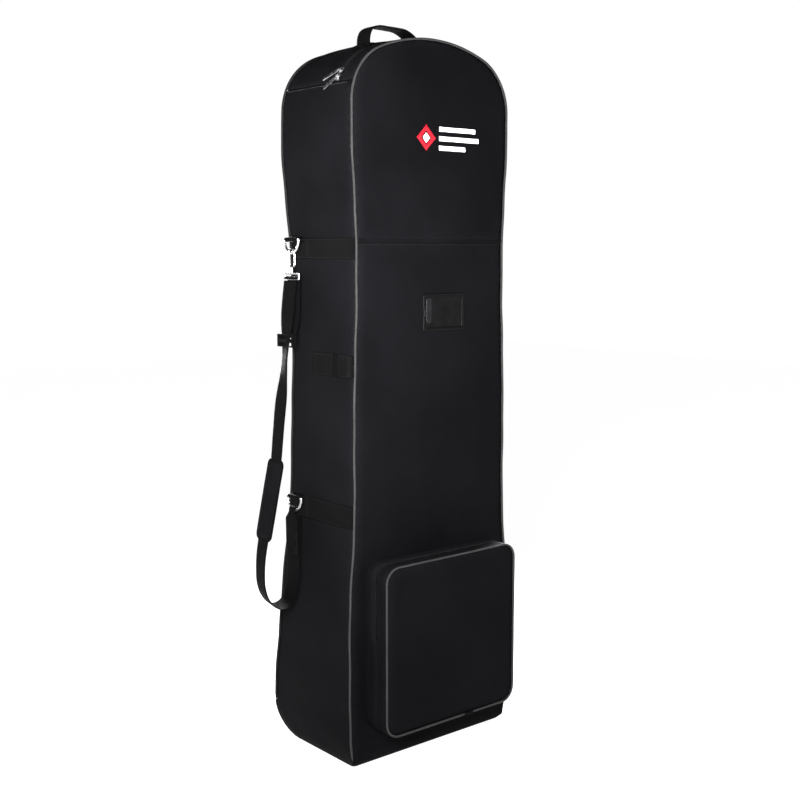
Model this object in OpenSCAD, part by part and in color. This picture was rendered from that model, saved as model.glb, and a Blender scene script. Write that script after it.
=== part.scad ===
// Soft golf travel case: an arched box of padded fabric that stands on its base,
// with a zipped front flap, a zipped box pocket and a shoulder strap on its left side.
// Frame: +Z up, the front faces -Y, origin at the middle of the base on the floor.

/* [Case] */
// Width of the case
case_w = 356; // [340:1:380]
// Height of the case's crown above the floor
case_h = 1250; // [1220:1:1300]
// Distance from the origin to the front face
front_d = 100; // [96:1:106]
// Radius of the two shoulder arcs
shoulder_r = 100; // [90:1:110]
// Drop from the crown to where the sides become straight
shoulder_drop = 115; // [112:1:125]
// Thickness of the padded front and back panels
panel_t = 4; // [3:0.5:5]
// Thickness of the gusset fabric
gusset_t = 3; // [2:0.5:4]
// Height of the seam across the front panel
seam_z = 907; // [880:1:930]
// Radius of the piping cord
piping_r = 3; // [2:0.25:3.5]

/* [Main zipper] */
// Distance of the zipper line behind the origin plane, negative is to the front
zip_y = -56; // [-60:1:-50]
// Height of the left end of the zipper
zip_left_z = 1170; // [1160:1:1180]
// Height of the right end of the zipper
zip_right_z = 40; // [30:1:60]
// Place of the two sliders round the left shoulder, in degrees above its spring line
slider_angles = [31, 23.5]; // [0:90]
// Length of the two pull tabs
pull_lengths = [38, 32]; // [20:50]
// Lean of the two pull tabs from hanging straight down the fabric, in degrees
pull_leans = [65, 54]; // [0:80]

/* [Pocket] */
// Width of the box pocket
pocket_w = 304; // [280:1:320]
// Height of the box pocket
pocket_h = 300; // [280:1:330]
// Depth of the box pocket
pocket_d = 57; // [45:1:70]
// Height of the pocket's lower edge
pocket_z = 63; // [50:1:80]
// Corner radius of the pocket
pocket_r = 28; // [20:1:35]
// Height where the pocket's zipper ends and its flap folds
pocket_fold_z = 230; // [200:1:250]
// Heights of the two pocket sliders
pocket_slider_zs = [296, 262]; // [240:330]

/* [Front details] */
// Width of the card window's frame
window_w = 98; // [80:1:110]
// Height of the card window's frame
window_h = 66; // [50:1:80]
// Sideways place of the card window's middle
window_x = 22; // [0:1:40]
// Height of the card window's middle
window_z = 786; // [760:1:800]
// Sideways place of the emblem's middle
emblem_x = 30; // [0:1:40]
// Height of the emblem's middle
emblem_z = 1084; // [1070:1:1100]

/* [Webbing and strap] */
// Width of the webbing
web_w = 38; // [34:1:40]
// Height of the upper ring's bar
ring_upper_z = 912; // [900:1:920]
// Height of the lower ring's bar
ring_lower_z = 457; // [450:1:465]
// Distance of the rings' middle behind the origin plane
strap_y = 60; // [56:1:62]
// Distance of the rings from the middle of the case
ring_x = 187; // [187:0.5:190]
// Left foot of the carry loop, sideways
handle_x0 = -97; // [-100:1:-90]
// Right foot of the carry loop, sideways
handle_x1 = 14; // [10:1:40]
// Height of the carry loop's top
handle_top_z = 1272; // [1268:1:1290]
// Distance of the carry loop's middle behind the origin plane
handle_y = -30; // [-32:1:0]

/* [Hidden] */
half_w = case_w / 2;
front_y = -front_d;
shoulder_x = half_w - shoulder_r;
shoulder_z = case_h - shoulder_drop;
crown_r = (pow(shoulder_x, 2) + pow(shoulder_drop, 2) - pow(shoulder_r, 2))
    / (2 * (shoulder_drop - shoulder_r));
crown_z = case_h - crown_r;
crown_a = atan2(shoulder_x, shoulder_z - crown_z);
// Gap left between pieces that are sewn edge to edge
seam_gap = 0.2;
// Inset of the panels behind the piping, and of the piping's own middle line
panel_inset = 5.2;
piping_inset = 2;
piping_y = front_y + 1;
gusset_y0 = front_y + panel_t + seam_gap;
// Reach of cutting shapes past the back of the case
past = 200;
// Roll of fabric under the front edge, and the big round of the lower back corner
toe_r = 22;
heel_r = 62;
heel_y = 68;
heel_top_z = 62;
// Back face of the case, as [height, distance behind the origin plane]
back_line = [
    [62, 130], [123, 125], [184, 116], [250, 107], [329, 100], [442, 90], [552, 84],
    [660, 80], [780, 80], [873, 83], [980, 90], [1057, 95], [1150, 98], [1250, 98]
];
back_piping_r = 2.5;
back_piping_in = 1.5;
back_gusset_in = 4.4;
// Half widths of the gap for the zipper coil, and its tape
zip_gap = 4;
coil_t = 0.9;
coil_clear = 0.1;
coil_top = 0.4;
tape_out = gusset_t + 0.2;
tape_in = gusset_t + 1.2;
tape_w = 15;
// Patch over the closed end of the zipper: half width and length
patch_half = 14;
patch_l = 26;
foam_t = 5;
foam_inset = 9;
back_foam_inset = 15;
hood_foam_y = [-38, 82];
board_z = 4.3;
board_t = 3;
board_inset = 8;
// Sliders and pull tabs
slider_w = 9;
slider_l = 11;
slider_low = 0.3;
slider_t = 2.4;
bail_out = 4.8;
bail_r = 0.9;
bail_l = 6;
ear_t = 1;
ear_h = 2.4;
ear_over = 0.3;
ear_sunk = 0.4;
eye_r = 1.9;
eye_bore_r = 1;
eye_l = 3.6;
tab_t = 1.4;
tab_w = 6;
neck_l = 6;
neck_lap = 1;
pocket_tab_l = 26;
// Pocket
pocket_front_y = front_y - pocket_d;
pocket_zip_y = pocket_front_y + 33;
pocket_top_z = pocket_z + pocket_h;
pocket_side_x = pocket_w / 2;
pocket_face_t = 3;
pocket_rim_y = pocket_front_y + 4.2;
fold_gap = 0.3;
// Height of the pocket zipper's ends above the fold
pocket_zip_up = 4;
// Card window
window_corner = 5;
window_border = 5;
window_frame_t = 1.6;
vinyl_y = [front_y - 0.9, front_y - 0.3];
thumb_r = 7;
thumb_gap = 0.3;
seam_strip_h = 6;
seam_strip_t = 1.2;
// Emblem: a lozenge and three bars, each bar as [height above the middle, length]
emblem_size = 44;
emblem_gap = 8;
emblem_bar_h = 8;
emblem_t = 0.9;
emblem_bars = [[16, 84], [0, 92], [-16, 60]];
emblem_left = emblem_x - 72;
// Rings, hook and strap
wire_r = 2.3;
ring_r = 21;
ring_drop = 2;
ring_pivot_up = 1;
ring_swing_drop = ring_drop + ring_r - ring_pivot_up;
upper_pivot_z = ring_upper_z - ring_swing_drop;
lower_pivot_z = ring_lower_z - ring_swing_drop;
ring_tab_r = 4.3;
ring_bore_r = 2.4;
ring_tab_w = 34;
hook_r = 6.3;
hook_wire_r = 1.9;
hook_nose = 5.7;
hook_gate_l = 12;
hook_h = 20;
hook_gate_r = 1.5;
hook_foot = 1;
gate_gap = 0.3;
barrel_r = 3.4;
barrel_h = 7;
barrel_bore = 5.5;
stem_r = 1.6;
stem_bore_r = 1.7;
eye_bar_r = 1.8;
eye_bar_z = upper_pivot_z - 46;
eye_top_z = upper_pivot_z - 37;
eye_half = 21;
loop_in_r = 5.6;
loop_w = 18;
loop_t = 1.6;
web_t = 2;
// Webbing bands on the left wall: heights of their edges, and where they end
band_upper_z = [879, 914];
band_middle_z = [681, 719];
band_lower_z = [424, 462];
band_end_y = 34;
band_middle_end_y = 14;
// Touch-fastened straps inside
inner_strap_zs = [440, 780];
inner_strap_l = 300;
inner_patch_l = 120;
inner_patch_edge = 2;
inner_gap = 1;
strap_t = 3;
// Middle line of the shoulder strap, as [sideways, height], in the plane of the rings
strap_route = [
    [-190.6, 841], [-193.5, 820], [-197, 790], [-201, 745], [-205, 695], [-210, 655],
    [-216, 610], [-221, 565], [-225, 528], [-235, 480], [-245, 433], [-254, 390],
    [-259, 362], [-261, 335], [-260, 310], [-253, 288], [-240, 271], [-222, 263],
    [-206, 268], [-196, 286], [-192, 312], [-190, 340], [-189, 372], [-187.5, 400],
    [-187, 427]
];
// Middle line of the strap's returned end, from the eye down to the tri-glide
return_route = [
    [-183.9, 844], [-184.2, 830], [-184.5, 808], [-184.5, 790], [-186.5, 772],
    [-190.5, 757], [-196, 742]
];
glide_x = -199.5;
glide_z = 737;
glide_t = 9;
glide_h = 22;
glide_frame = 4;
glide_slot = 6;
pad_from = [-225, 528];
pad_to = [-254, 390];
pad_w = 52;
pad_t = 8;
end_layer_x = -192.6;
end_layer_z = [352, 425];
// Carry loop
handle_w = 36;
handle_t = 2.6;
handle_lift = 13;
handle_foot_h = 4.5;
handle_foot_sunk = 2;
// Middle line of the loop's two ends, as [distance in from the foot, drop below the top]
handle_left = [[1, 15], [6, 9], [14, 4], [30, 2]];
handle_right = [[26, 1.5], [12, 3], [3, 5.5]];
handle_middle_drop = 0.5;
// Colours
fabric = [0.10, 0.10, 0.12];
webbing = [0.07, 0.07, 0.08];
light = [0.75, 0.75, 0.77];
metal = [0.70, 0.71, 0.73];
foam = [0.45, 0.46, 0.48];
plastic = [0.05, 0.05, 0.06];
clear = [0.25, 0.27, 0.30];
accent = [0.75, 0.12, 0.10];

// ---- Curves and helpers ----

// Points of an arc from angle a0 to a1 about (cx, cy), starting at step "first"
function arc_points(cx, cy, r, a0, a1, steps, first = 0) = [
    for (i = [first:steps])
        let (a = a0 + (a1 - a0) * i / steps)
        [cx + r * cos(a), cy + r * sin(a)]
];

// The arch over the shoulders and crown, from right to left, moved inwards by d
function arch_line(d) = concat(
    arc_points(shoulder_x, shoulder_z, shoulder_r - d, 0, 90 - crown_a, 8),
    arc_points(0, crown_z, crown_r - d, 90 - crown_a, 90 + crown_a, 8, 1),
    arc_points(-shoulder_x, shoulder_z, shoulder_r - d, 90 + crown_a, 180, 8, 1)
);

function back_y(z) = lookup(z, back_line);
function crown_at(x) = crown_z + sqrt(pow(crown_r, 2) - pow(x, 2));

// Outline of the whole case seen from the front
module arch_shape(d, bottom) {
    polygon(concat([[-half_w + d, bottom], [half_w - d, bottom]], arch_line(d)));
}

// Outline of the whole case seen from its side, with the back edge moved in by d
module side_shape(d) {
    polygon(concat(
        arc_points(front_y + toe_r, toe_r, toe_r, 180, 270, 6),
        arc_points(heel_y - d, heel_r, heel_r, 270, 360, 8),
        [for (p = back_line) if (p[0] > heel_top_z) [p[1] - d, p[0]]],
        [[front_y, case_h]]
    ));
}

// Extrude an outline drawn in X and Z from y0 to y1
module along_y(y0, y1) {
    translate([0, y1, 0])
        rotate([90, 0, 0])
        linear_extrude(height = y1 - y0)
        children();
}

// Extrude an outline drawn in Y and Z from x0 to x1
module along_x(x0, x1) {
    translate([x0, 0, 0])
        rotate([90, 0, 90])
        linear_extrude(height = x1 - x0)
        children();
}

// A band of the arch between two insets, above one height on each side
module arch_band(d_out, d_in, left_z, right_z) {
    difference() {
        arch_shape(d_out, 0);
        arch_shape(d_in, -1);
        translate([-half_w - 1, -1])
            square([half_w + 1, left_z + 1]);
        translate([0, -1])
            square([half_w + 1, right_z + 1]);
    }
}

// Outline of the pocket, moved inwards by d
module pocket_shape(d) {
    r = pocket_r - d;
    x = pocket_side_x - pocket_r;
    polygon(concat(
        arc_points(x, pocket_z + pocket_r, r, 270, 360, 6),
        arc_points(x, pocket_top_z - pocket_r, r, 0, 90, 6),
        arc_points(-x, pocket_top_z - pocket_r, r, 90, 180, 6),
        arc_points(-x, pocket_z + pocket_r, r, 180, 270, 6)
    ));
}

// A wall of the pocket between two insets
module pocket_ring(d_out, d_in) {
    difference() {
        pocket_shape(d_out);
        pocket_shape(d_in);
    }
}

// Keep only what lies above or below a height
module above(z) {
    intersection() {
        children();
        translate([-half_w, z])
            square([case_w, case_h]);
    }
}

module below(z) {
    intersection() {
        children();
        translate([-half_w, z - case_h])
            square([case_w, case_h]);
    }
}

function unit(v) = v / norm(v);

// Direction of a path at point i
function heading(path, i) = unit(path[min(i + 1, len(path) - 1)] - path[max(i - 1, 0)]);

// One ring of a tube: an eight-sided section of half sizes a and b about a path point,
// where "across" is the section's first direction
function tube_ring(path, i, a, b, across) =
    let (n = unit(cross(heading(path, i), across)), m = unit(cross(n, heading(path, i))))
    [for (k = [0:7]) path[i] + m * a * cos(45 * k + 22.5) + n * b * sin(45 * k + 22.5)];

// Closed tube swept along a path
module swept_tube(path, a, b, across) {
    count = len(path);
    points = [for (i = [0:count - 1]) each tube_ring(path, i, a, b, across)];
    walls = [
        for (i = [0:count - 2], k = [0:7])
            let (p = 8 * i + k, q = 8 * i + (k + 1) % 8)
            each [[p, p + 8, q + 8], [p, q + 8, q]]
    ];
    caps = [
        [for (k = [0:7]) k],
        [for (k = [7:-1:0]) 8 * (count - 1) + k]
    ];
    polyhedron(points, concat(walls, caps));
}

// A flat strip of thickness t that follows a route drawn in X and Z
module strip_shape(route, t) {
    normals = [
        for (i = [0:len(route) - 1])
            let (h = heading(route, i))
            [-h[1], h[0]] * t / 2
    ];
    polygon(concat(
        [for (i = [0:len(route) - 1]) route[i] + normals[i]],
        [for (i = [len(route) - 1:-1:0]) route[i] - normals[i]]
    ));
}

// ---- Shell of the case ----

module back_panel() {
    low = heel_top_z + seam_gap;
    color(fabric) intersection() {
        along_x(-half_w, half_w) polygon(concat(
            [[back_y(low), low]],
            [for (p = back_line) if (p[0] > low) [p[1], p[0]]],
            [for (i = [len(back_line) - 1:-1:1]) [back_line[i][1] - panel_t, back_line[i][0]]],
            [[back_y(low) - panel_t, low]]
        ));
        along_y(0, past) arch_shape(panel_inset, low);
    }
}

module back_foam() {
    low = 90;
    high = 1230;
    near = panel_t + seam_gap;
    far = near + foam_t;
    inner = [for (p = back_line) if (p[0] > low && p[0] < high) p];
    color(foam) intersection() {
        along_x(-half_w, half_w) polygon(concat(
            [[back_y(low) - near, low]],
            [for (p = inner) [p[1] - near, p[0]]],
            [[back_y(high) - near, high], [back_y(high) - far, high]],
            [for (i = [len(inner) - 1:-1:0]) [inner[i][1] - far, inner[i][0]]],
            [[back_y(low) - far, low]]
        ));
        along_y(0, past) arch_shape(back_foam_inset, low);
    }
}

module back_piping() {
    sides = [for (p = back_line) if (p[0] < shoulder_z) max(p[0], heel_top_z + 1)];
    x = half_w - piping_inset;
    path = concat(
        [for (z = sides) [x, back_y(z) - back_piping_in, z]],
        [for (p = arch_line(piping_inset)) [p[0], back_y(p[1]) - back_piping_in, p[1]]],
        [for (i = [len(sides) - 1:-1:0]) [-x, back_y(sides[i]) - back_piping_in, sides[i]]]
    );
    color(fabric) swept_tube(path, back_piping_r, back_piping_r, [0, 1, 0]);
}

// Side wall outline between a front line and the back edge, up to a height
module side_wall_shape(from_y, from_z, to_z) {
    intersection() {
        side_shape(back_gusset_in);
        translate([from_y, from_z])
            square([2 * past, to_z - from_z]);
    }
}

module gusset_left() {
    color(fabric) union() {
        along_x(-half_w, -half_w + gusset_t)
            side_wall_shape(gusset_y0, 0, shoulder_z);
        intersection() {
            along_y(gusset_y0, past) difference() {
                arch_band(0, gusset_t, shoulder_z, case_h + 1);
                translate([-half_w, zip_left_z])
                    square([case_w, past]);
            }
            along_x(-half_w, 0)
                side_wall_shape(gusset_y0, shoulder_z, zip_left_z);
        }
    }
}

module gusset_right() {
    color(fabric) along_x(half_w - gusset_t, half_w)
        side_wall_shape(zip_y + zip_gap, 0, shoulder_z);
}

module gusset_top() {
    color(fabric) intersection() {
        along_y(zip_y + zip_gap, past)
            arch_band(0, gusset_t, zip_left_z + seam_gap, shoulder_z + seam_gap);
        along_x(-half_w, half_w)
            side_wall_shape(zip_y, shoulder_z, case_h + 1);
    }
}

module hood_foam() {
    near = tape_in + seam_gap;
    color(foam) along_y(hood_foam_y[0], hood_foam_y[1])
        arch_band(near, near + foam_t, shoulder_z, shoulder_z);
}

module bottom_panel() {
    inner_toe = toe_r - panel_t;
    inner_heel = heel_r - panel_t;
    x = half_w - gusset_t - seam_gap;
    color(fabric) along_x(-x, x) polygon(concat(
        arc_points(front_y + toe_r, toe_r, toe_r, 180, 270, 6),
        arc_points(heel_y, heel_r, heel_r, 270, 360, 8),
        arc_points(heel_y, heel_r, inner_heel, 360, 270, 8),
        arc_points(front_y + toe_r, toe_r, inner_toe, 270, 180, 6)
    ));
}

module base_board() {
    x = half_w - board_inset;
    y0 = front_y + toe_r;
    color(plastic) translate([-x, y0, board_z])
        cube([2 * x, heel_y - y0, board_t]);
}

// ---- Main zipper ----

module zip_tape_back() {
    color(webbing) along_y(zip_y + coil_t + coil_clear, zip_y + coil_clear + tape_w)
        arch_band(tape_out, tape_in, zip_left_z, zip_right_z);
}

module zip_coil_back() {
    color(plastic) along_y(zip_y + coil_clear, zip_y + coil_clear + coil_t)
        arch_band(coil_top, tape_in, zip_left_z, zip_right_z);
}

module zip_tape_front() {
    color(webbing) along_y(zip_y - coil_clear - tape_w, zip_y - coil_clear - coil_t)
        arch_band(tape_out, tape_in, zip_left_z + seam_gap, zip_right_z);
}

module zip_coil_front() {
    color(plastic) along_y(zip_y - coil_clear - coil_t, zip_y - coil_clear)
        arch_band(coil_top, tape_in, zip_left_z + seam_gap, zip_right_z);
}

// Fabric patch that covers the left end of the zipper, inside the side wall
module zip_end_tab() {
    color(webbing) along_y(zip_y - patch_half, zip_y + patch_half) difference() {
        arch_band(tape_out, tape_in, zip_left_z - patch_l, case_h + 1);
        translate([-half_w, zip_left_z - 2 * seam_gap])
            square([half_w, past]);
    }
}

// Place children on the left shoulder: local -X points out of the fabric, +Z along it
module on_shoulder(a) {
    translate([-shoulder_x, zip_y, shoulder_z])
        rotate([0, a, 0])
        translate([-shoulder_r, 0, 0])
        children();
}

// Slider seen with its back on the coil at x = 0 and its pull side towards -X;
// the two ears hold the bail, which lies across the lean of the pull
module slider_body(lean) {
    bail_x = -bail_out - slider_low;
    ear_x = bail_x - bail_r - ear_over;
    ear_end = ear_sunk - slider_t - slider_low;
    color(metal) union() {
        translate([-slider_t - slider_low, -slider_w / 2, -slider_l / 2])
            cube([slider_t, slider_w, slider_l]);
        rotate([lean, 0, 0]) {
            for (side = [-1, 1])
                translate([ear_x, side * (bail_l - ear_t) / 2 - ear_t / 2, -ear_h / 2])
                    cube([ear_end - ear_x, ear_t, ear_h]);
            translate([bail_x, (ear_t - bail_l) / 2, 0])
                rotate([-90, 0, 0])
                cylinder(r = bail_r, h = bail_l - ear_t, $fn = 32);
        }
    }
}

// Pull tab that hangs from the slider's bail, along local -Z after the lean
module pull_body(lean, length) {
    x = -bail_out - slider_low;
    color(metal) rotate([lean, 0, 0]) difference() {
        union() {
            translate([x, -eye_l / 2, 0])
                rotate([-90, 0, 0])
                cylinder(r = eye_r, h = eye_l, $fn = 32);
            translate([x - tab_t / 2, -eye_l / 2, -neck_l])
                cube([tab_t, eye_l, neck_l]);
            translate([x - tab_t / 2, -tab_w / 2, -length])
                cube([tab_t, tab_w, length - neck_l + neck_lap]);
        }
        translate([x, -eye_l, 0])
            rotate([-90, 0, 0])
            cylinder(r = eye_bore_r, h = 2 * eye_l, $fn = 32);
    }
}

module slider_a() {
    on_shoulder(slider_angles[0]) slider_body(pull_leans[0]);
}

module slider_b() {
    on_shoulder(slider_angles[1]) slider_body(pull_leans[1]);
}

module pull_a() {
    on_shoulder(slider_angles[0]) pull_body(pull_leans[0], pull_lengths[0]);
}

module pull_b() {
    on_shoulder(slider_angles[1]) pull_body(pull_leans[1], pull_lengths[1]);
}

// ---- Webbing on the case ----

module web_band(end_y, edges) {
    color(webbing) translate([-half_w - web_t, gusset_y0, edges[0]])
        cube([web_t, end_y - gusset_y0, edges[1] - edges[0]]);
}

module web_band_upper() {
    web_band(band_end_y, band_upper_z);
}

module web_band_middle() {
    web_band(band_middle_end_y, band_middle_z);
}

module web_band_lower() {
    web_band(band_end_y, band_lower_z);
}

// Webbing tab folded round the straight bar of a ring
module ring_tab(bar_z) {
    difference() {
        union() {
            translate([-ring_x, strap_y - ring_tab_w / 2, bar_z])
                rotate([-90, 0, 0])
                cylinder(r = ring_tab_r, h = ring_tab_w, $fn = 48);
            translate([-ring_x, strap_y - ring_tab_w / 2, bar_z])
                cube([ring_x - half_w, ring_tab_w, ring_tab_r]);
        }
        translate([-ring_x, strap_y - ring_tab_w, bar_z])
            rotate([-90, 0, 0])
            cylinder(r = ring_bore_r, h = 2 * ring_tab_w, $fn = 48);
    }
}

module ring_tabs() {
    color(webbing) {
        ring_tab(ring_upper_z);
        ring_tab(ring_lower_z);
    }
}

// Two straps with touch fastening that hold the bag against the back, inside the case
module inner_straps() {
    patch_w = web_w - 2 * inner_patch_edge;
    for (z = inner_strap_zs) {
        y = back_y(z) - panel_t - foam_t - 2 * inner_gap - web_t;
        color(webbing) translate([-inner_strap_l / 2, y, z - web_w / 2])
            cube([inner_strap_l, web_t, web_w]);
        color(plastic) translate([-inner_patch_l / 2, y - web_t, z - patch_w / 2])
            cube([inner_patch_l, web_t, patch_w]);
    }
}

module handle_feet() {
    for (x = [handle_x0, handle_x1])
        color(webbing) along_y(handle_y - handle_w / 2, handle_y + handle_w / 2) difference() {
            translate([x - handle_t / 2, crown_at(x) - handle_foot_sunk])
                square([handle_t, handle_foot_h + handle_foot_sunk]);
            arch_shape(-seam_gap / 2, 0);
        }
}

module handle_loop() {
    middle_x = (handle_x0 + handle_x1) / 2;
    route = concat(
        [[handle_x0, crown_at(handle_x0) + handle_lift]],
        [for (p = handle_left) [handle_x0 + p[0], handle_top_z - p[1]]],
        [[middle_x, handle_top_z - handle_middle_drop]],
        [for (p = handle_right) [handle_x1 - p[0], handle_top_z - p[1]]],
        [[handle_x1, crown_at(handle_x1) + handle_lift]]
    );
    color(webbing) along_y(handle_y - handle_w / 2, handle_y + handle_w / 2)
        strip_shape(route, handle_t);
}

// ---- Front flap ----

module front_panel_upper() {
    color(fabric) along_y(front_y, front_y + panel_t)
        above(seam_z + seam_gap) arch_shape(panel_inset, 0);
}

module front_panel_lower() {
    color(fabric) along_y(front_y, front_y + panel_t)
        below(seam_z) arch_shape(panel_inset, toe_r + 2 * seam_gap);
}

module seam_strip() {
    x = half_w - panel_inset;
    color(fabric) translate([-x, front_y - seam_strip_t, seam_z - seam_strip_h / 2])
        cube([2 * x, seam_strip_t, seam_strip_h]);
}

module front_foam() {
    color(foam) along_y(front_y + panel_t + seam_gap, front_y + panel_t + seam_gap + foam_t)
        arch_shape(foam_inset, 30);
}

module front_piping() {
    x = half_w - piping_inset;
    low = toe_r + 4;
    path = concat(
        [[x, piping_y, low]],
        [for (p = arch_line(piping_inset)) [p[0], piping_y, p[1]]],
        [[-x, piping_y, low]]
    );
    color(light) swept_tube(path, piping_r, piping_r, [0, 1, 0]);
}

module flap_top() {
    color(fabric) along_y(gusset_y0, zip_y - zip_gap)
        arch_band(0, gusset_t, zip_left_z + 2 * seam_gap, shoulder_z + seam_gap);
}

module flap_side() {
    color(fabric) translate([half_w - gusset_t, gusset_y0, toe_r + 4])
        cube([gusset_t, zip_y - zip_gap - gusset_y0, shoulder_z - toe_r - 4]);
}

module window_outline(d) {
    r = window_corner - d / 2;
    x = window_w / 2 - d - r;
    z = window_h / 2 - d - r;
    translate([window_x, window_z]) polygon(concat(
        arc_points(x, -z, r, 270, 360, 4),
        arc_points(x, z, r, 0, 90, 4),
        arc_points(-x, z, r, 90, 180, 4),
        arc_points(-x, -z, r, 180, 270, 4)
    ));
}

// The notch for a thumb at the window's left side
module thumb_notch(d) {
    translate([window_x - window_w / 2 + window_border, window_z])
        circle(r = thumb_r + d, $fn = 48);
}

// Sewn frame of the card window; its left side has a thumb notch for sliding a card in
module window_frame() {
    color(plastic) along_y(front_y - window_frame_t, front_y) difference() {
        window_outline(0);
        window_outline(window_border);
        thumb_notch(0);
    }
}

module window_vinyl() {
    color(clear) along_y(vinyl_y[0], vinyl_y[1]) difference() {
        window_outline(window_border + thumb_gap);
        thumb_notch(thumb_gap);
    }
}

// Plain embroidered badge: a lozenge beside three bars
module emblem() {
    half = emblem_size / 2;
    bars_x = emblem_left + emblem_size + emblem_gap;
    color(accent) along_y(front_y - emblem_t, front_y)
        translate([emblem_left + half, emblem_z])
        polygon([[-half, 0], [0, -half], [half, 0], [0, half]]);
    for (bar = emblem_bars)
        color(light) translate([bars_x, front_y - emblem_t, emblem_z + bar[0] - emblem_bar_h / 2])
            cube([bar[1], emblem_t, emblem_bar_h]);
}

// ---- Pocket ----

module pocket_gusset() {
    back_ring_y = pocket_zip_y + zip_gap;
    color(fabric) union() {
        along_y(back_ring_y, front_y)
            pocket_ring(0, gusset_t);
        along_y(pocket_rim_y, back_ring_y)
            below(pocket_fold_z - fold_gap) pocket_ring(0, gusset_t);
    }
}

module pocket_face_lower() {
    color(fabric) along_y(pocket_front_y, pocket_front_y + pocket_face_t)
        below(pocket_fold_z - fold_gap) pocket_shape(panel_inset);
}

module pocket_face_upper() {
    color(fabric) along_y(pocket_front_y, pocket_front_y + pocket_face_t)
        above(pocket_fold_z + fold_gap) pocket_shape(panel_inset);
}

module pocket_rim() {
    color(fabric) along_y(pocket_rim_y, pocket_zip_y - zip_gap)
        above(pocket_fold_z + fold_gap) pocket_ring(0, gusset_t);
}

// Piping round the two upper or the two lower corners of the pocket's front edge; both of
// its ends are at end_z
module pocket_piping(upper, end_z) {
    x = pocket_side_x - pocket_r;
    r = pocket_r - piping_inset;
    side_x = pocket_side_x - piping_inset;
    z = upper ? pocket_top_z - pocket_r : pocket_z + pocket_r;
    turn = upper ? -90 : 90;
    flat = concat(
        [[-side_x, end_z]],
        arc_points(-x, z, r, 180, 180 + turn, 6),
        arc_points(x, z, r, 360 - turn, 360, 6),
        [[side_x, end_z]]
    );
    color(light) swept_tube(
        [for (p = flat) [p[0], pocket_front_y + 1, p[1]]], piping_r, piping_r, [0, 1, 0]
    );
}

module pocket_piping_lower() {
    pocket_piping(false, pocket_fold_z - fold_gap);
}

module pocket_piping_upper() {
    pocket_piping(true, pocket_fold_z + fold_gap);
}

module pocket_zip_back() {
    color(webbing) union() {
        along_y(pocket_zip_y + coil_clear, pocket_zip_y + coil_clear + coil_t)
            above(pocket_fold_z + pocket_zip_up) pocket_ring(coil_top, tape_in);
        along_y(pocket_zip_y + coil_clear + coil_t, pocket_zip_y + tape_w)
            above(pocket_fold_z + pocket_zip_up) pocket_ring(tape_out, tape_in);
    }
}

module pocket_zip_front() {
    color(webbing) union() {
        along_y(pocket_zip_y - coil_clear - coil_t, pocket_zip_y - coil_clear)
            above(pocket_fold_z + pocket_zip_up) pocket_ring(coil_top, tape_in);
        along_y(pocket_zip_y - tape_w, pocket_zip_y - coil_clear - coil_t)
            above(pocket_fold_z + pocket_zip_up) pocket_ring(tape_out, tape_in);
    }
}

// Place children on the pocket's right wall: local -X points out of the fabric
module on_pocket_wall(z) {
    translate([pocket_side_x, pocket_zip_y, z])
        rotate([0, 0, 180])
        children();
}

module pocket_slider_a() {
    on_pocket_wall(pocket_slider_zs[0]) slider_body(0);
}

module pocket_slider_b() {
    on_pocket_wall(pocket_slider_zs[1]) slider_body(0);
}

module pocket_pull_a() {
    on_pocket_wall(pocket_slider_zs[0]) pull_body(0, pocket_tab_l);
}

module pocket_pull_b() {
    on_pocket_wall(pocket_slider_zs[1]) pull_body(0, pocket_tab_l);
}

// ---- Rings, hook and shoulder strap ----

// D-ring: a straight bar along Y with a half round bow below it
module d_ring(bar_z) {
    color(metal) translate([-ring_x, strap_y, bar_z]) union() {
        translate([0, -ring_r, 0])
            rotate([-90, 0, 0])
            cylinder(r = wire_r, h = 2 * ring_r, $fn = 48);
        for (side = [-1, 1]) {
            translate([0, side * ring_r, -ring_drop])
                cylinder(r = wire_r, h = ring_drop, $fn = 48);
            translate([0, side * ring_r, 0])
                sphere(r = wire_r, $fn = 48);
        }
        translate([0, 0, -ring_drop])
            rotate([90, 0, 90])
            rotate([0, 0, 180])
            rotate_extrude(angle = 180, $fn = 96)
            translate([ring_r, 0])
            circle(r = wire_r, $fn = 48);
    }
}

module ring_upper() {
    d_ring(ring_upper_z);
}

module ring_lower() {
    d_ring(ring_lower_z);
}

// Half of the hook's round wire in the XZ plane, from angle a over 180 degrees
module hook_bend(z, a) {
    translate([0, 0, z])
        rotate([90, a, 0])
        rotate_extrude(angle = 180, $fn = 96)
        translate([hook_r, 0])
        circle(r = hook_wire_r, $fn = 48);
}

module snap_hook() {
    barrel_z = -hook_h - hook_r - barrel_h;
    color(metal) translate([-ring_x, strap_y, upper_pivot_z]) difference() {
        union() {
            hook_bend(0, 0);
            hook_bend(-hook_h, 180);
            translate([hook_r, 0, -hook_h])
                cylinder(r = hook_wire_r, h = hook_h, $fn = 48);
            translate([-hook_r, 0, -hook_nose])
                cylinder(r = hook_wire_r, h = hook_nose, $fn = 48);
            translate([-hook_r, 0, -hook_h])
                cylinder(r = hook_wire_r, h = hook_foot, $fn = 48);
            translate([0, 0, barrel_z])
                cylinder(r = barrel_r, h = barrel_h, $fn = 48);
        }
        translate([0, 0, barrel_z - 1])
            cylinder(r = stem_bore_r, h = barrel_bore + 1, $fn = 48);
    }
}

// Straight sprung gate between the hook's foot and its nose
module hook_gate() {
    gate_low = hook_nose + hook_gate_l + gate_gap;
    color(metal) translate([-ring_x - hook_r, strap_y, upper_pivot_z - gate_low])
        cylinder(r = hook_gate_r, h = hook_gate_l, $fn = 48);
}

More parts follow.
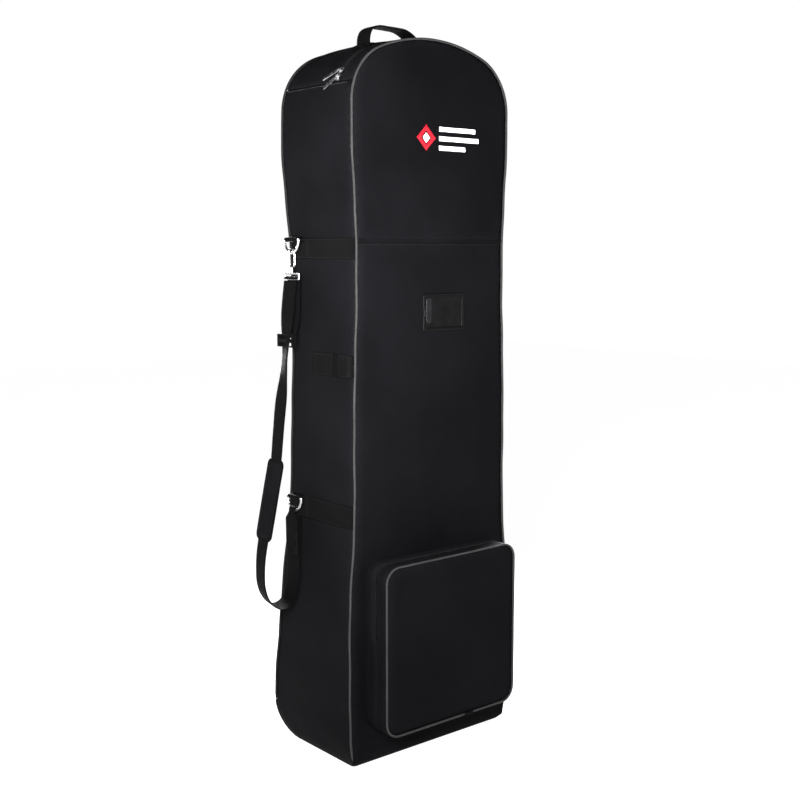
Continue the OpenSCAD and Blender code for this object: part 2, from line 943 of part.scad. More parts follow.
// Swivel stem and rectangular eye that takes the webbing
module hook_eye() {
    stem_top = upper_pivot_z - hook_h - hook_r - 2;
    color(metal) translate([-ring_x, strap_y, 0]) union() {
        translate([0, 0, eye_top_z])
            cylinder(r = stem_r, h = stem_top - eye_top_z, $fn = 48);
        for (z = [eye_bar_z, eye_top_z])
            translate([0, -eye_half, z])
                rotate([-90, 0, 0])
                cylinder(r = eye_bar_r, h = 2 * eye_half, $fn = 48);
        for (side = [-1, 1]) {
            translate([0, side * eye_half, eye_bar_z])
                cylinder(r = eye_bar_r, h = eye_top_z - eye_bar_z, $fn = 48);
            for (z = [eye_bar_z, eye_top_z])
                translate([0, side * eye_half, z])
                    sphere(r = eye_bar_r, $fn = 48);
        }
    }
}

module strap_webbing() {
    path = [for (p = strap_route) [p[0], strap_y, p[1]]];
    color(webbing) swept_tube(path, web_w / 2 / cos(22.5), strap_t / 2 / cos(22.5), [0, 1, 0]);
}

// Webbing led over the lower bar of the hook's eye and back down to the tri-glide
module strap_return() {
    fold_r = eye_bar_r + seam_gap + web_t / 2;
    route = concat(
        [[-ring_x - fold_r - 0.4, strap_route[0][1]]],
        arc_points(-ring_x, eye_bar_z, fold_r, 180, 0, 8),
        [for (i = [1:len(return_route) - 1]) return_route[i]]
    );
    color(webbing) along_y(strap_y - web_w / 2, strap_y + web_w / 2)
        strip_shape(route, web_t);
}

module strap_glide() {
    slot_w = web_w + 1;
    color(plastic) translate([glide_x, strap_y, glide_z]) difference() {
        translate([-glide_t / 2, -web_w / 2 - glide_frame, -glide_h / 2])
            cube([glide_t, web_w + 2 * glide_frame, glide_h]);
        for (z = [-glide_slot, glide_slot])
            translate([-glide_t, -slot_w / 2, z - glide_slot / 2])
                cube([2 * glide_t, slot_w, glide_slot]);
    }
}

module shoulder_pad() {
    run = pad_to - pad_from;
    middle = (pad_to + pad_from) / 2;
    color(fabric) translate([middle[0], strap_y, middle[1]])
        rotate([0, atan2(run[0], run[1]), 0])
        translate([-pad_t / 2, -pad_w / 2, -norm(run) / 2])
        cube([pad_t, pad_w, norm(run)]);
}

// Lower end of the strap: a narrowed fold round the lower ring, and the sewn-back layer
module strap_end_loop() {
    low = end_layer_z[0];
    high = end_layer_z[1];
    color(webbing) union() {
        translate([-ring_x, strap_y - loop_w / 2, lower_pivot_z])
            rotate([-90, 0, 0])
            difference() {
                cylinder(r = loop_in_r + loop_t, h = loop_w, $fn = 48);
                translate([0, 0, -1])
                    cylinder(r = loop_in_r, h = loop_w + 2, $fn = 48);
            }
        translate([end_layer_x - web_t / 2, strap_y - web_w / 2, low])
            cube([web_t, web_w, high - low]);
        translate([end_layer_x - web_t / 2, strap_y - loop_w / 2, high])
            cube([web_t, loop_w, lower_pivot_z - high]);
    }
}

back_panel();
back_foam();
back_piping();
gusset_left();
gusset_right();
gusset_top();
hood_foam();
bottom_panel();
base_board();
zip_tape_back();
zip_coil_back();
zip_end_tab();
web_band_upper();
web_band_middle();
web_band_lower();
ring_tabs();
handle_feet();
inner_straps();
front_panel_upper();
front_panel_lower();
seam_strip();
front_foam();
front_piping();
flap_top();
flap_side();
zip_tape_front();
zip_coil_front();
window_frame();
window_vinyl();
emblem();
pocket_gusset();
pocket_face_lower();
pocket_piping_lower();
pocket_zip_back();
pocket_face_upper();
pocket_rim();
pocket_piping_upper();
pocket_zip_front();
slider_a();
slider_b();
pull_a();
pull_b();
pocket_slider_a();
pocket_slider_b();
pocket_pull_a();
pocket_pull_b();
handle_loop();
ring_upper();
ring_lower();
snap_hook();
hook_gate();
hook_eye();
strap_webbing();
strap_return();
strap_glide();
shoulder_pad();
strap_end_loop();
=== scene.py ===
"""A soft golf travel case: fabric, webbing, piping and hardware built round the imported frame.

Everything is in metres in the frame's own axes: +Z up, the front faces -Y, the strap hangs on the -X side.
"""

import math

import bpy
import numpy as np
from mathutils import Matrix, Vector, noise
from mathutils.bvhtree import BVHTree
from mathutils.geometry import delaunay_2d_cdt


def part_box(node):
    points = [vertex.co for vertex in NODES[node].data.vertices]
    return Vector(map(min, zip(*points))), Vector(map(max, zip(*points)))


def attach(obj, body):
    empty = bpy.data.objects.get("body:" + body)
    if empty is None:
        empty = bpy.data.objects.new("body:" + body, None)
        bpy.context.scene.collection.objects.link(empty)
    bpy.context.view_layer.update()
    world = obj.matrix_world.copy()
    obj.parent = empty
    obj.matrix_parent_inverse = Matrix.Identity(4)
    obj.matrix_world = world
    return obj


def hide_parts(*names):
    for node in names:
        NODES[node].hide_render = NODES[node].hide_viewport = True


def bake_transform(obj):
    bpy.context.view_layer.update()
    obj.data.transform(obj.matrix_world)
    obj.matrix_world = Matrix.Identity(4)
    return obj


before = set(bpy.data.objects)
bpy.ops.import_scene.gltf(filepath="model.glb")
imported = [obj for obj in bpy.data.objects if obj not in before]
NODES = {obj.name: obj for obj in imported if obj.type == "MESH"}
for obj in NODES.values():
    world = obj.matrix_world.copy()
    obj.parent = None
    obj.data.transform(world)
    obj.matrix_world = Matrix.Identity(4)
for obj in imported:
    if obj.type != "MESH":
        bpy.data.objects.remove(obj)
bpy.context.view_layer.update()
SCENE = bpy.context.scene

# ---- Sizes, from the frame ----

HALF_W = -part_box("gusset_left")[0].x
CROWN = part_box("gusset_top")[1].z
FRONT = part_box("front_panel_lower")[0].y
SEAM_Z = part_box("front_panel_lower")[1].z
ZIP_Y = (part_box("zip_coil_back")[0].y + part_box("zip_coil_front")[1].y) / 2
ZIP_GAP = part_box("gusset_top")[0].y - ZIP_Y
ZIP_LEFT_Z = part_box("gusset_left")[1].z
ZIP_RIGHT_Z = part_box("zip_coil_back")[0].z
SHOULDER_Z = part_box("gusset_right")[1].z
SHOULDER_R = 0.100
SHOULDER_X = HALF_W - SHOULDER_R
SHOULDER_DROP = CROWN - SHOULDER_Z
CROWN_R = (SHOULDER_X**2 + SHOULDER_DROP**2 - SHOULDER_R**2) / (2 * (SHOULDER_DROP - SHOULDER_R))
CROWN_Z = CROWN - CROWN_R
CROWN_A = math.atan2(SHOULDER_X, SHOULDER_Z - CROWN_Z)
SHOULDER_L = SHOULDER_R * (math.pi / 2 - CROWN_A)
CROWN_L = CROWN_R * 2 * CROWN_A
ARCH_L = 2 * SHOULDER_L + CROWN_L
OUTLINE_L = 2 * SHOULDER_Z + ARCH_L
# The fabric's roll under the front edge, the round lower back corner, and the soft lower side edges
TOE_R, HEEL_R, EDGE_R = 0.012, 0.062, 0.010
TOE_Y = FRONT + TOE_R
HEEL_Y = 0.068
# Half width of the soft case by height: it is drawn in at the waist and fills out at the base
WIDTHS = [
    (0.0, 0.1790), (0.015, 0.1815), (0.04, 0.1850), (0.10, 0.1875), (0.20, 0.1880), (0.30, 0.1850),
    (0.40, 0.1785), (0.50, 0.1755), (0.62, 0.1750), (0.72, 0.1735), (0.80, 0.1695), (0.90, 0.1695),
    (0.98, 0.1735), (1.06, 0.1775), (1.135, 0.1780),
]
PIPING_R = 0.0019
PIPING_INSET = 0.0016
PANEL_INSET = 0.0040
# Depth of the gussets' sewn edges behind the front face and before the back face
SEWN = 0.0028
RING_X = -0.187
RING_Y = 0.060
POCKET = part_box("pocket_gusset")
POCKET_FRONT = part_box("pocket_face_lower")[0].y
POCKET_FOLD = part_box("pocket_rim")[0].z
POCKET_ZIP_Y = (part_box("pocket_zip_back")[0].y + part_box("pocket_zip_front")[1].y) / 2
POCKET_R = 0.028
# Middle line of the shoulder strap, sideways and up, in the plane of the rings
STRAP_ROUTE = [
    (-0.1906, 0.841), (-0.1935, 0.820), (-0.197, 0.790), (-0.201, 0.745), (-0.205, 0.695),
    (-0.210, 0.655), (-0.216, 0.610), (-0.221, 0.565), (-0.225, 0.528), (-0.235, 0.480),
    (-0.245, 0.433), (-0.254, 0.390), (-0.259, 0.362), (-0.261, 0.335), (-0.260, 0.310),
    (-0.253, 0.288), (-0.240, 0.271), (-0.222, 0.263), (-0.206, 0.268), (-0.196, 0.286),
    (-0.192, 0.312), (-0.190, 0.340), (-0.189, 0.372), (-0.1875, 0.400), (-0.187, 0.427),
]
RETURN_ROUTE = [
    (-0.1842, 0.830), (-0.1845, 0.808), (-0.1845, 0.790), (-0.1865, 0.772), (-0.1905, 0.757),
    (-0.196, 0.742),
]
# Heights of the shoulder pad's ends, the hook's eye and the lower ring's wire
PAD_Z = (0.528, 0.390)
EYE_Z, WIRE_Z = 0.844, 0.435
STRAP_W = 0.038
# Turn of the strap about its own line, in degrees, by distance from the hook's eye
STRAP_TWIST = [
    (0.0, 0), (0.07, 3), (0.105, 14), (0.135, 21), (0.165, 16), (0.20, 6), (0.26, 5), (0.32, 6),
    (0.46, 7), (0.50, 9), (0.60, 8), (0.70, 2), (0.76, 0),
]

# ---- Small numeric helpers ----


def unit(v):
    return v / np.maximum(np.linalg.norm(v, axis=-1, keepdims=True), 1e-12)


def spline(knots, at):
    """Smooth curve through (place, value) knots, read at each place."""
    k = np.array(knots, float)
    slope = np.gradient(k[:, 1], k[:, 0])
    i = np.clip(np.searchsorted(k[:, 0], at) - 1, 0, len(k) - 2)
    step = k[i + 1, 0] - k[i, 0]
    t = np.clip((np.asarray(at, float) - k[i, 0]) / step, 0, 1)
    a, b = k[i, 1], k[i + 1, 1]
    return (
        a * (1 + 2 * t) * (1 - t) ** 2
        + b * t * t * (3 - 2 * t)
        + step * slope[i] * t * (1 - t) ** 2
        - step * slope[i + 1] * t * t * (1 - t)
    )


def lengths(path):
    """Distance along a path at each of its points."""
    return np.concatenate([[0], np.cumsum(np.linalg.norm(np.diff(path, axis=0), axis=1))])


def smooth_path(points, step):
    """A smooth curve through points, with points about step apart."""
    points = np.array(points, float)
    along = lengths(points)
    fine = np.linspace(0, along[-1], max(3, int(along[-1] / step) + 1))
    return np.stack([spline(np.c_[along, points[:, k]], fine) for k in range(points.shape[1])], axis=1)


def read_at(at, along, rows):
    """Rows given at places along a path, read at other places."""
    return np.stack([np.interp(at, along, column) for column in rows.T], axis=1)


def even_path(points, step):
    """The same polyline with points step apart."""
    points = np.array(points, float)
    along = lengths(points)
    return read_at(np.linspace(0, along[-1], max(2, int(round(along[-1] / step)) + 1)), along, points)


def stand(flat, y):
    """Points given across and up, stood at a depth."""
    return np.c_[flat[:, 0], np.broadcast_to(y, (len(flat),)), flat[:, 1]]


def arc(cx, cy, r, a0, a1, steps):
    a = np.radians(np.linspace(a0, a1, steps + 1))
    return np.c_[cx + r * np.cos(a), cy + r * np.sin(a)]


def corner_arcs(x0, x1, z0, z1, r, steps):
    """The rounded corners of a rectangle, anticlockwise from the lower left."""
    return [
        arc(x0 + r, z0 + r, r, 180, 270, steps), arc(x1 - r, z0 + r, r, 270, 360, steps),
        arc(x1 - r, z1 - r, r, 0, 90, steps), arc(x0 + r, z1 - r, r, 90, 180, steps),
    ]


# ---- The case's own curves ----


# Depth of the back face by height: deep at the base, drawn in at the waist
BACK = [
    (0.062, 0.130), (0.123, 0.125), (0.184, 0.116), (0.250, 0.107), (0.329, 0.100), (0.442, 0.090),
    (0.552, 0.084), (0.660, 0.081), (0.780, 0.082), (0.873, 0.088), (0.980, 0.098), (1.057, 0.101),
    (1.130, 0.099), (1.190, 0.094), (1.250, 0.086),
]


def back_y(z):
    return spline(BACK, np.clip(z, BACK[0][0], BACK[-1][0]))


def half_width(z):
    """Half width at a height, with the slight waver of a sewn edge."""
    waver = 0.0007 * np.sin(np.asarray(z) * 23.0 + 1.0) + 0.0004 * np.sin(np.asarray(z) * 61.0)
    fade = np.clip((1.10 - np.asarray(z)) / 0.08, 0, 1)
    return spline(WIDTHS, np.clip(z, 0, WIDTHS[-1][0])) + waver * fade


def around(s, inset=0.0):
    """Points on the outline seen from the front, s metres from the lower left, and their outward normals."""
    s = np.atleast_1d(np.asarray(s, float))
    z = np.where(s < SHOULDER_Z, s, OUTLINE_L - s)
    side = np.where(s < OUTLINE_L / 2, -1.0, 1.0)
    t = np.minimum(s, OUTLINE_L - s) - SHOULDER_Z
    angle = np.where(t < SHOULDER_L, t / SHOULDER_R, SHOULDER_L / SHOULDER_R + (t - SHOULDER_L) / CROWN_R)
    on_shoulder = t < SHOULDER_L
    radius = np.where(on_shoulder, SHOULDER_R, CROWN_R) - inset
    nx, nz = side * np.cos(angle), np.sin(angle)
    x = np.where(on_shoulder, side * SHOULDER_X, 0) + radius * nx
    height = np.where(on_shoulder, SHOULDER_Z, CROWN_Z) + radius * nz
    straight = t < 0
    x = np.where(straight, side * (half_width(z) - inset), x)
    height = np.where(straight, z, height)
    return x, height, np.where(straight, side, nx), np.where(straight, 0.0, nz)


def left_s(z):
    """Distance along the outline of a height on the left side or left shoulder."""
    if z <= SHOULDER_Z:
        return z
    return SHOULDER_Z + SHOULDER_R * math.asin((z - SHOULDER_Z) / SHOULDER_R)


def edge_round(d, k):
    """How far the soft lower edge turns in at distance d from the profile, for a share k of its radius."""
    r = np.maximum(EDGE_R * k, 1e-6)
    c = np.clip(r - d, 0, r * 0.999)
    return r - np.sqrt(r * r - c * c)


EDGE_HALF = 1 - math.sqrt(0.5)


def profile_place(y, z):
    """Distance to the case's lower profile seen from the side, and the share of its edge radius there."""
    toe = (y < TOE_Y) & (z < TOE_R)
    heel = (y > HEEL_Y) & (z < HEEL_R)
    toe_d = np.hypot(y - TOE_Y, z - TOE_R)
    heel_d = np.hypot(y - HEEL_Y, z - HEEL_R)
    d = np.where(toe, TOE_R - toe_d, np.where(heel, HEEL_R - heel_d, z))
    k = np.where(toe, (TOE_R - z) / np.maximum(toe_d, 1e-6), 1.0)
    k = np.where(heel, (HEEL_R - z) / np.maximum(heel_d, 1e-6), k)
    return d, np.clip(k, 0, 1)


# ---- Meshes ----


def new_object(name, points, faces, uv=None, smooth=True):
    mesh = bpy.data.meshes.new(name)
    mesh.from_pydata([tuple(p) for p in points], [], [tuple(int(i) for i in f) for f in faces])
    if uv is not None:
        layer = mesh.uv_layers.new(name="UVMap")
        index = np.zeros(len(mesh.loops), np.int32)
        mesh.loops.foreach_get("vertex_index", index)
        layer.data.foreach_set("uv", np.asarray(uv, np.float32)[index].ravel())
    mesh.update()
    if smooth:
        mesh.shade_smooth()
    obj = bpy.data.objects.new(name, mesh)
    SCENE.collection.objects.link(obj)
    return obj


def coords(obj):
    co = np.zeros(len(obj.data.vertices) * 3, np.float32)
    obj.data.vertices.foreach_get("co", co)
    return co.reshape(-1, 3).astype(float)


def set_coords(obj, points):
    obj.data.vertices.foreach_set("co", np.asarray(points, np.float32).ravel())
    obj.data.update()


def dress(obj, material, body=None, replaces=()):
    """Gives a piece its finish and its place in the assembly."""
    obj.data.materials.clear()
    obj.data.materials.append(material)
    if body:
        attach(obj, body)
    if replaces:
        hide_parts(*replaces)
    return obj


def rings_mesh(name, rings, uv, caps=True):
    """Skin over a run of equal rings of points."""
    count, sides = len(rings), len(rings[0])
    points = np.concatenate(rings)
    faces = [
        (i * sides + k, i * sides + (k + 1) % sides, (i + 1) * sides + (k + 1) % sides, (i + 1) * sides + k)
        for i in range(count - 1)
        for k in range(sides)
    ]
    if caps:
        faces.append(tuple(range(sides))[::-1])
        faces.append(tuple((count - 1) * sides + k for k in range(sides)))
    return new_object(name, points, faces, np.concatenate(uv))


def sections(path, across):
    """Directions along, across and out of a path's flat section at each point."""
    along = unit(np.gradient(path, axis=0))
    across = np.broadcast_to(np.asarray(across, float), path.shape)
    across = unit(across - along * (across * along).sum(1, keepdims=True))
    return along, across, np.cross(along, across)


def ribbon(name, path, across, width, thick, columns=9, crown=0.0):
    """A flat strap with soft edges, swept along path; across is the direction of its width."""
    path = np.asarray(path, float)
    _, across, out = sections(path, across)
    width = np.broadcast_to(np.asarray(width, float), (len(path),))
    t = np.linspace(-1, 1, columns)
    half = thick / 2 * (1 - 0.7 * np.abs(t) ** 8)
    lift = crown * (1 - t * t)
    v = lengths(path)
    rings, uv = [], []
    for i, p in enumerate(path):
        base = p + across[i] * (t * width[i] / 2)[:, None]
        top = base + out[i] * (lift + half)[:, None]
        low = base + out[i] * (lift - half)[:, None]
        rings.append(np.concatenate([top, low[::-1]]))
        u = t * width[i] / 2
        uv.append(np.c_[np.concatenate([u, u[::-1]]), np.full(2 * columns, v[i])])
    return rings_mesh(name, rings, uv)


def tube(name, path, radius, sides=12, across=(0, 1, 0)):
    """A round cord along a path; radius may change along it."""
    path = np.asarray(path, float)
    _, across, out = sections(path, across)
    radius = np.broadcast_to(np.asarray(radius, float), (len(path),))
    a = np.linspace(0, 2 * math.pi, sides, endpoint=False)
    v = lengths(path)
    rings = [
        p + radius[i] * (np.outer(np.cos(a), across[i]) + np.outer(np.sin(a), out[i]))
        for i, p in enumerate(path)
    ]
    uv = [np.c_[a * radius[i], np.full(sides, v[i])] for i in range(len(path))]
    return rings_mesh(name, rings, uv)


def closed_outline(parts, cell):
    """Joins stretches of an outline and cuts long steps down to about one cell."""
    points = np.concatenate([np.atleast_2d(np.asarray(p, float)) for p in parts])
    out = []
    for a, b in zip(points, np.roll(points, -1, axis=0)):
        gap = np.linalg.norm(b - a)
        if gap < cell * 0.15:
            continue
        steps = max(1, int(round(gap / cell)))
        out += [a + (b - a) * i / steps for i in range(steps)]
    return np.array(out)


def inside(points, edge):
    """Which points lie inside a closed outline, and how far each is from it."""
    a, b = edge, np.roll(edge, -1, axis=0)
    x, y = points[:, :1], points[:, 1:]
    d = b - a
    meets = d[:, 0] * (y - a[:, 1]) / np.where(d[:, 1] == 0, 1e-12, d[:, 1]) + a[:, 0]
    crosses = ((a[:, 1] > y) != (b[:, 1] > y)) & (x < meets)
    t = ((x - a[:, 0]) * d[:, 0] + (y - a[:, 1]) * d[:, 1]) / np.maximum((d * d).sum(1), 1e-15)
    t = np.clip(t, 0, 1)
    gap = np.hypot(x - a[:, 0] - t * d[:, 0], y - a[:, 1] - t * d[:, 1]).min(1)
    return crosses.sum(1) % 2 == 1, gap


def net(edge, cell):
    """An even triangular net inside a closed outline: points, triangles and distance from the edge."""
    low, high = edge.min(0), edge.max(0)
    rows = np.arange(low[1] + 0.45 * cell, high[1], cell * math.sqrt(0.75))
    starts = low[0] + cell * (0.3 + 0.5 * (np.arange(len(rows)) % 2))
    columns = [np.arange(start, high[0], cell) for start in starts]
    grid = np.concatenate([np.c_[c, np.full(len(c), y)] for c, y in zip(columns, rows)] + [edge[:1]])
    ok, gap = inside(grid, edge)
    points = np.concatenate([edge, grid[ok & (gap > 0.55 * cell)]])
    made = delaunay_2d_cdt([Vector(p) for p in points], [], [list(range(len(edge)))], 1, 1e-8)
    points = np.array([tuple(v) for v in made[0]])
    _, gap = inside(points, edge)
    return points, np.array([tuple(f) for f in made[2]]), gap


def panel_mesh(name, edge, place, out, cell):
    """A net inside an outline, placed in space with its faces turned outwards."""
    flat, faces, gap = net(closed_outline(edge, cell), cell)
    points = place(flat, gap)
    a, b, c = (points[faces[:, i]] for i in range(3))
    facing = (np.cross(b - a, c - a) * out((a + b + c) / 3)).sum(1)
    if np.median(facing) < 0:
        faces = faces[:, ::-1]
    obj = new_object(name, points, faces, flat)
    rim = obj.data.attributes.new("rim", "FLOAT", "POINT")
    rim.data.foreach_set("value", np.exp(-gap / 0.010).astype(np.float32))
    return obj, flat, gap


def add_thickness(obj, thick, finer=True):
    if finer:
        obj.modifiers.new("finer", "SUBSURF").render_levels = 1
        obj.modifiers["finer"].levels = 1
    wall = obj.modifiers.new("thickness", "SOLIDIFY")
    wall.thickness = thick
    wall.offset = -1


def settle(obj):
    """Turns a piece and its modifiers into one plain mesh."""
    graph = bpy.context.evaluated_depsgraph_get()
    graph.update()
    obj.data = bpy.data.meshes.new_from_object(obj.evaluated_get(graph), depsgraph=graph)
    obj.modifiers.clear()
    obj.data.shade_smooth()


CLOTHS = []


def cloth(name, edge, place, out, cell=0.009, thick=0.0014, puff=0.004, grow=0.006, pins=None):
    """A sewn fabric panel, held at its edge and blown out a little."""
    obj, flat, gap = panel_mesh(name, edge, place, out, cell)
    held = gap < cell * 0.2
    if pins is not None:
        held = held | pins(flat)
    add_thickness(obj, thick)
    CLOTHS.append((obj, held, gap, out, puff, grow))
    return obj


def soften(values, faces, rounds):
    """Averages values at points with their neighbours'."""
    ends = np.concatenate([faces[:, [0, 1]], faces[:, [1, 2]], faces[:, [2, 0]]])
    count = np.bincount(ends[:, 0], minlength=len(values)).clip(1)[:, None]
    for _ in range(rounds):
        total = np.zeros_like(values)
        np.add.at(total, ends[:, 0], values[ends[:, 1]])
        values = (values + total / count) / 2
    return values


def rumple(points, seed):
    """Soft uneven relief, in metres, of fabric over padding, with creases where it gathers at the base."""
    out = []
    for p in points:
        v = Vector(p)
        broad = noise.noise(v * 5.0 + seed)
        fine = noise.noise(Vector((v.x * 16, v.y * 16, v.z * 9)) + seed)
        crease = 0.5 - abs(noise.noise(Vector((v.x * 17, v.y * 17, v.z * 30)) + seed * 2)) * 2
        gathered = math.exp(-((v.z / 0.075) ** 2))
        out.append(0.0024 * broad + 0.0008 * fine + 0.0042 * crease * gathered)
    return np.array(out)


def simulate_cloths(frames=20):
    """Blows all the panels out together with Blender's cloth, then keeps each within its own reach."""
    for obj, held, _, _, _, grow in CLOTHS:
        group = obj.vertex_groups.new(name="held")
        group.add([int(i) for i in np.nonzero(held)[0]], 1.0, "REPLACE")
        for m in obj.modifiers:
            m.show_viewport = False
        modifier = obj.modifiers.new("cloth", "CLOTH")
        s = modifier.settings
        s.vertex_group_mass = "held"
        s.quality = 5
        s.mass = 0.25
        s.air_damping = 4
        s.tension_stiffness = s.compression_stiffness = 25
        s.shear_stiffness = 12
        s.bending_stiffness = 1.5
        s.use_pressure = True
        s.uniform_pressure_force = 3.0
        s.shrink_min = -grow
        s.effector_weights.gravity = 0
        modifier.collision_settings.use_collision = False
        modifier.point_cache.frame_start = 1
        modifier.point_cache.frame_end = frames
    for f in range(1, frames + 1):
        SCENE.frame_set(f)
    graph = bpy.context.evaluated_depsgraph_get()
    for obj, held, gap, out, puff, _ in CLOTHS:
        rest = coords(obj)
        faces = np.array([tuple(p.vertices) for p in obj.data.polygons])
        baked = obj.evaluated_get(graph).to_mesh()
        now = np.zeros(len(baked.vertices) * 3, np.float32)
        baked.vertices.foreach_get("co", now)
        move = soften(now.reshape(-1, 3) - rest, faces, 3)
        obj.modifiers.remove(obj.modifiers["cloth"])
        for m in obj.modifiers:
            m.show_viewport = True
        usual = np.percentile(np.linalg.norm(move, axis=1), 98)
        print(f"{obj.name}: cloth moved {usual * 1000:.1f} mm, kept to {puff * 1000:.1f}")
        move = move * min(1.0, puff / max(usual, 1e-9))
        far = np.linalg.norm(move, axis=1, keepdims=True)
        move = move * np.minimum(1, 1.4 * puff / np.maximum(far, 1e-9))
        seed = Vector((len(obj.name), 3.7, len(rest) % 17))
        share = min(1.0, puff / 0.0045)
        move += out(rest) * (rumple(rest, seed) * share * (1 - np.exp(-gap / 0.025)))[:, None]
        set_coords(obj, rest + np.where(held[:, None], 0, move))
    SCENE.frame_set(1)
    for obj, *_ in CLOTHS:
        settle(obj)


def skin(*objects):
    """What stitches and straps lie on: the surface of some finished panels."""
    points, faces = [], []
    for o in objects:
        start = len(points)
        points += [v.co.copy() for v in o.data.vertices]
        faces += [tuple(start + i for i in p.vertices) for p in o.data.polygons]
    return BVHTree.FromPolygons(points, faces)


def lay_on(tree, points, direction, lift=0.0):
    """Moves points along direction onto a surface, lift above it."""
    d = Vector(direction).normalized()
    out = []
    for p in np.asarray(points, float):
        start = Vector(p) - d * 0.05
        hit, _, _, _ = tree.ray_cast(start, d, 0.12)
        out.append(np.array((hit if hit is not None else Vector(p)) - d * lift))
    return np.array(out)


def threads(name, pieces, radius=0.00032):
    """Short lengths of thread. Each is its two ends and the direction out of the fabric."""
    a = np.linspace(0, 2 * math.pi, 6, endpoint=False)
    stations = [(0.0, 0.55, -0.5), (0.2, 1.0, 0.35), (0.5, 1.05, 0.6), (0.8, 1.0, 0.35), (1.0, 0.55, -0.5)]
    points, faces = [], []
    for first, last, up in pieces:
        d = unit(last - first)
        n = unit(up - d * (up @ d))
        side = np.cross(n, d)
        start = len(points)
        for place, size, rise in stations:
            centre = first + (last - first) * place + n * radius * rise
            points += list(centre + radius * size * (np.outer(np.cos(a), side) + np.outer(np.sin(a), n)))
        for j in range(len(stations) - 1):
            for k in range(6):
                p, q = start + 6 * j + k, start + 6 * j + (k + 1) % 6
                faces.append((p, q, q + 6, p + 6))
        faces.append(tuple(start + k for k in range(5, -1, -1)))
        faces.append(tuple(start + 6 * (len(stations) - 1) + k for k in range(6)))
    return new_object(name, points, faces)


def normals_along(path, normals, count):
    """Normals given at a path's points, read at count even places along it."""
    along = lengths(path)
    return read_at(np.linspace(0, along[-1], count), along, normals)


def row(path, normal, pitch=0.0036, share=0.74):
    """One row of stitches along a path; normal is one direction or one at each of the path's points."""
    path = np.asarray(path, float)
    line = even_path(path, pitch)
    ups = normals_along(path, np.broadcast_to(np.asarray(normal, float), path.shape), len(line))
    return [
        (a + (b - a) * (1 - share) / 2, b - (b - a) * (1 - share) / 2, up)
        for a, b, up in zip(line[:-1], line[1:], ups)
    ]


# ---- Materials ----


class Look:
    """A short way to write a material's node tree."""

    def __init__(self, name, **sockets):
        self.material = bpy.data.materials.new(name)
        self.material.use_nodes = True
        self.tree = self.material.node_tree
        self.shader = self.tree.nodes["Principled BSDF"]
        self.normal = None
        for key, value in sockets.items():
            self.shader.inputs[key.replace("_", " ")].default_value = value

    def node(self, kind, inputs=(), **settings):
        made = self.tree.nodes.new("ShaderNode" + kind)
        for key, value in settings.items():
            setattr(made, key, value)
        for key, value in dict(inputs).items():
            if isinstance(value, bpy.types.NodeSocket):
                self.tree.links.new(value, made.inputs[key])
            else:
                made.inputs[key].default_value = value
        return made

    def math(self, operation, *values):
        return self.node("Math", dict(enumerate(values)), operation=operation).outputs[0]

    def uv(self, pitch):
        """The surface's own two directions, as angles that turn once each pitch."""
        split = self.node("SeparateXYZ", {0: self.node("TexCoord").outputs["UV"]})
        turn = 2 * math.pi / pitch
        return [self.math("MULTIPLY", split.outputs[i], turn) for i in (0, 1)]

    def noise(self, scale, detail=3.0, stretch=(1, 1, 1)):
        place = self.node("Mapping", {0: self.node("TexCoord").outputs["Object"], "Scale": stretch})
        keys = {"Vector": place.outputs[0], "Scale": scale, "Detail": detail}
        return self.node("TexNoise", keys).outputs[0]

    def spread(self, value, low, high, start=0.3, end=0.7):
        keys = {0: value, 1: start, 2: end, 3: low, 4: high}
        return self.node("MapRange", keys).outputs[0]

    def mix(self, share, a, b):
        made = self.node("Mix", data_type="RGBA")
        for socket, value in ((made.inputs[0], share), (made.inputs[6], a), (made.inputs[7], b)):
            if isinstance(value, bpy.types.NodeSocket):
                self.tree.links.new(value, socket)
            else:
                socket.default_value = value
        return made.outputs[2]

    def link(self, **sockets):
        for key, value in sockets.items():
            self.tree.links.new(value, self.shader.inputs[key.replace("_", " ")])

    def coat(self, shade, dark, light, roughness):
        """Colour between dark and light by shade, and roughness."""
        self.link(Base_Color=self.mix(shade, dark, light), Roughness=roughness)

    def bump(self, height, distance, strength=1.0):
        keys = {"Height": height, "Distance": distance, "Strength": strength}
        if self.normal is not None:
            keys["Normal"] = self.normal
        self.normal = self.node("Bump", keys).outputs[0]
        self.link(Normal=self.normal)


def grey(value, tint=0.0):
    """A grey, turned a little towards violet by tint."""
    return (value, value * (1 - 0.2 * tint), value * (1 + tint), 1.0)


def plain_weave(look, pitch):
    u, v = look.uv(pitch)
    return look.math("MULTIPLY", look.math("SINE", u), look.math("SINE", v))


def fabric_look(name, dark, light, worn, pitch=0.0008, rough=(0.54, 0.68), tint=0.16):
    """Coated woven polyester: fine weave, faint cloudiness, rubbed seams."""
    look = Look(name, Specular_IOR_Level=0.014, Sheen_Weight=0.002, Sheen_Roughness=0.45)
    look.shader.inputs["Sheen Tint"].default_value = (0.80, 0.86, 1.0, 1.0)
    cloud = look.noise(7.0, 4.0)
    base = look.mix(look.spread(cloud, 0, 1), grey(dark, tint), grey(light, tint))
    rim = look.node("Attribute", attribute_name="rim").outputs["Fac"]
    rubbed = look.math("MULTIPLY", rim, look.spread(look.noise(160.0, 3.0), 0.1, 0.9))
    look.coat(rubbed, base, grey(worn, tint), look.spread(cloud, *rough))
    look.bump(look.noise(10.0, 2.0, (1, 1, 0.6)), 0.0070, 0.35)
    look.bump(look.noise(38.0, 3.0), 0.0012, 0.35)
    look.bump(look.noise(1500.0, 2.0), 0.0001, 0.35)
    look.bump(plain_weave(look, pitch), 0.00016, 0.55)
    return look.material


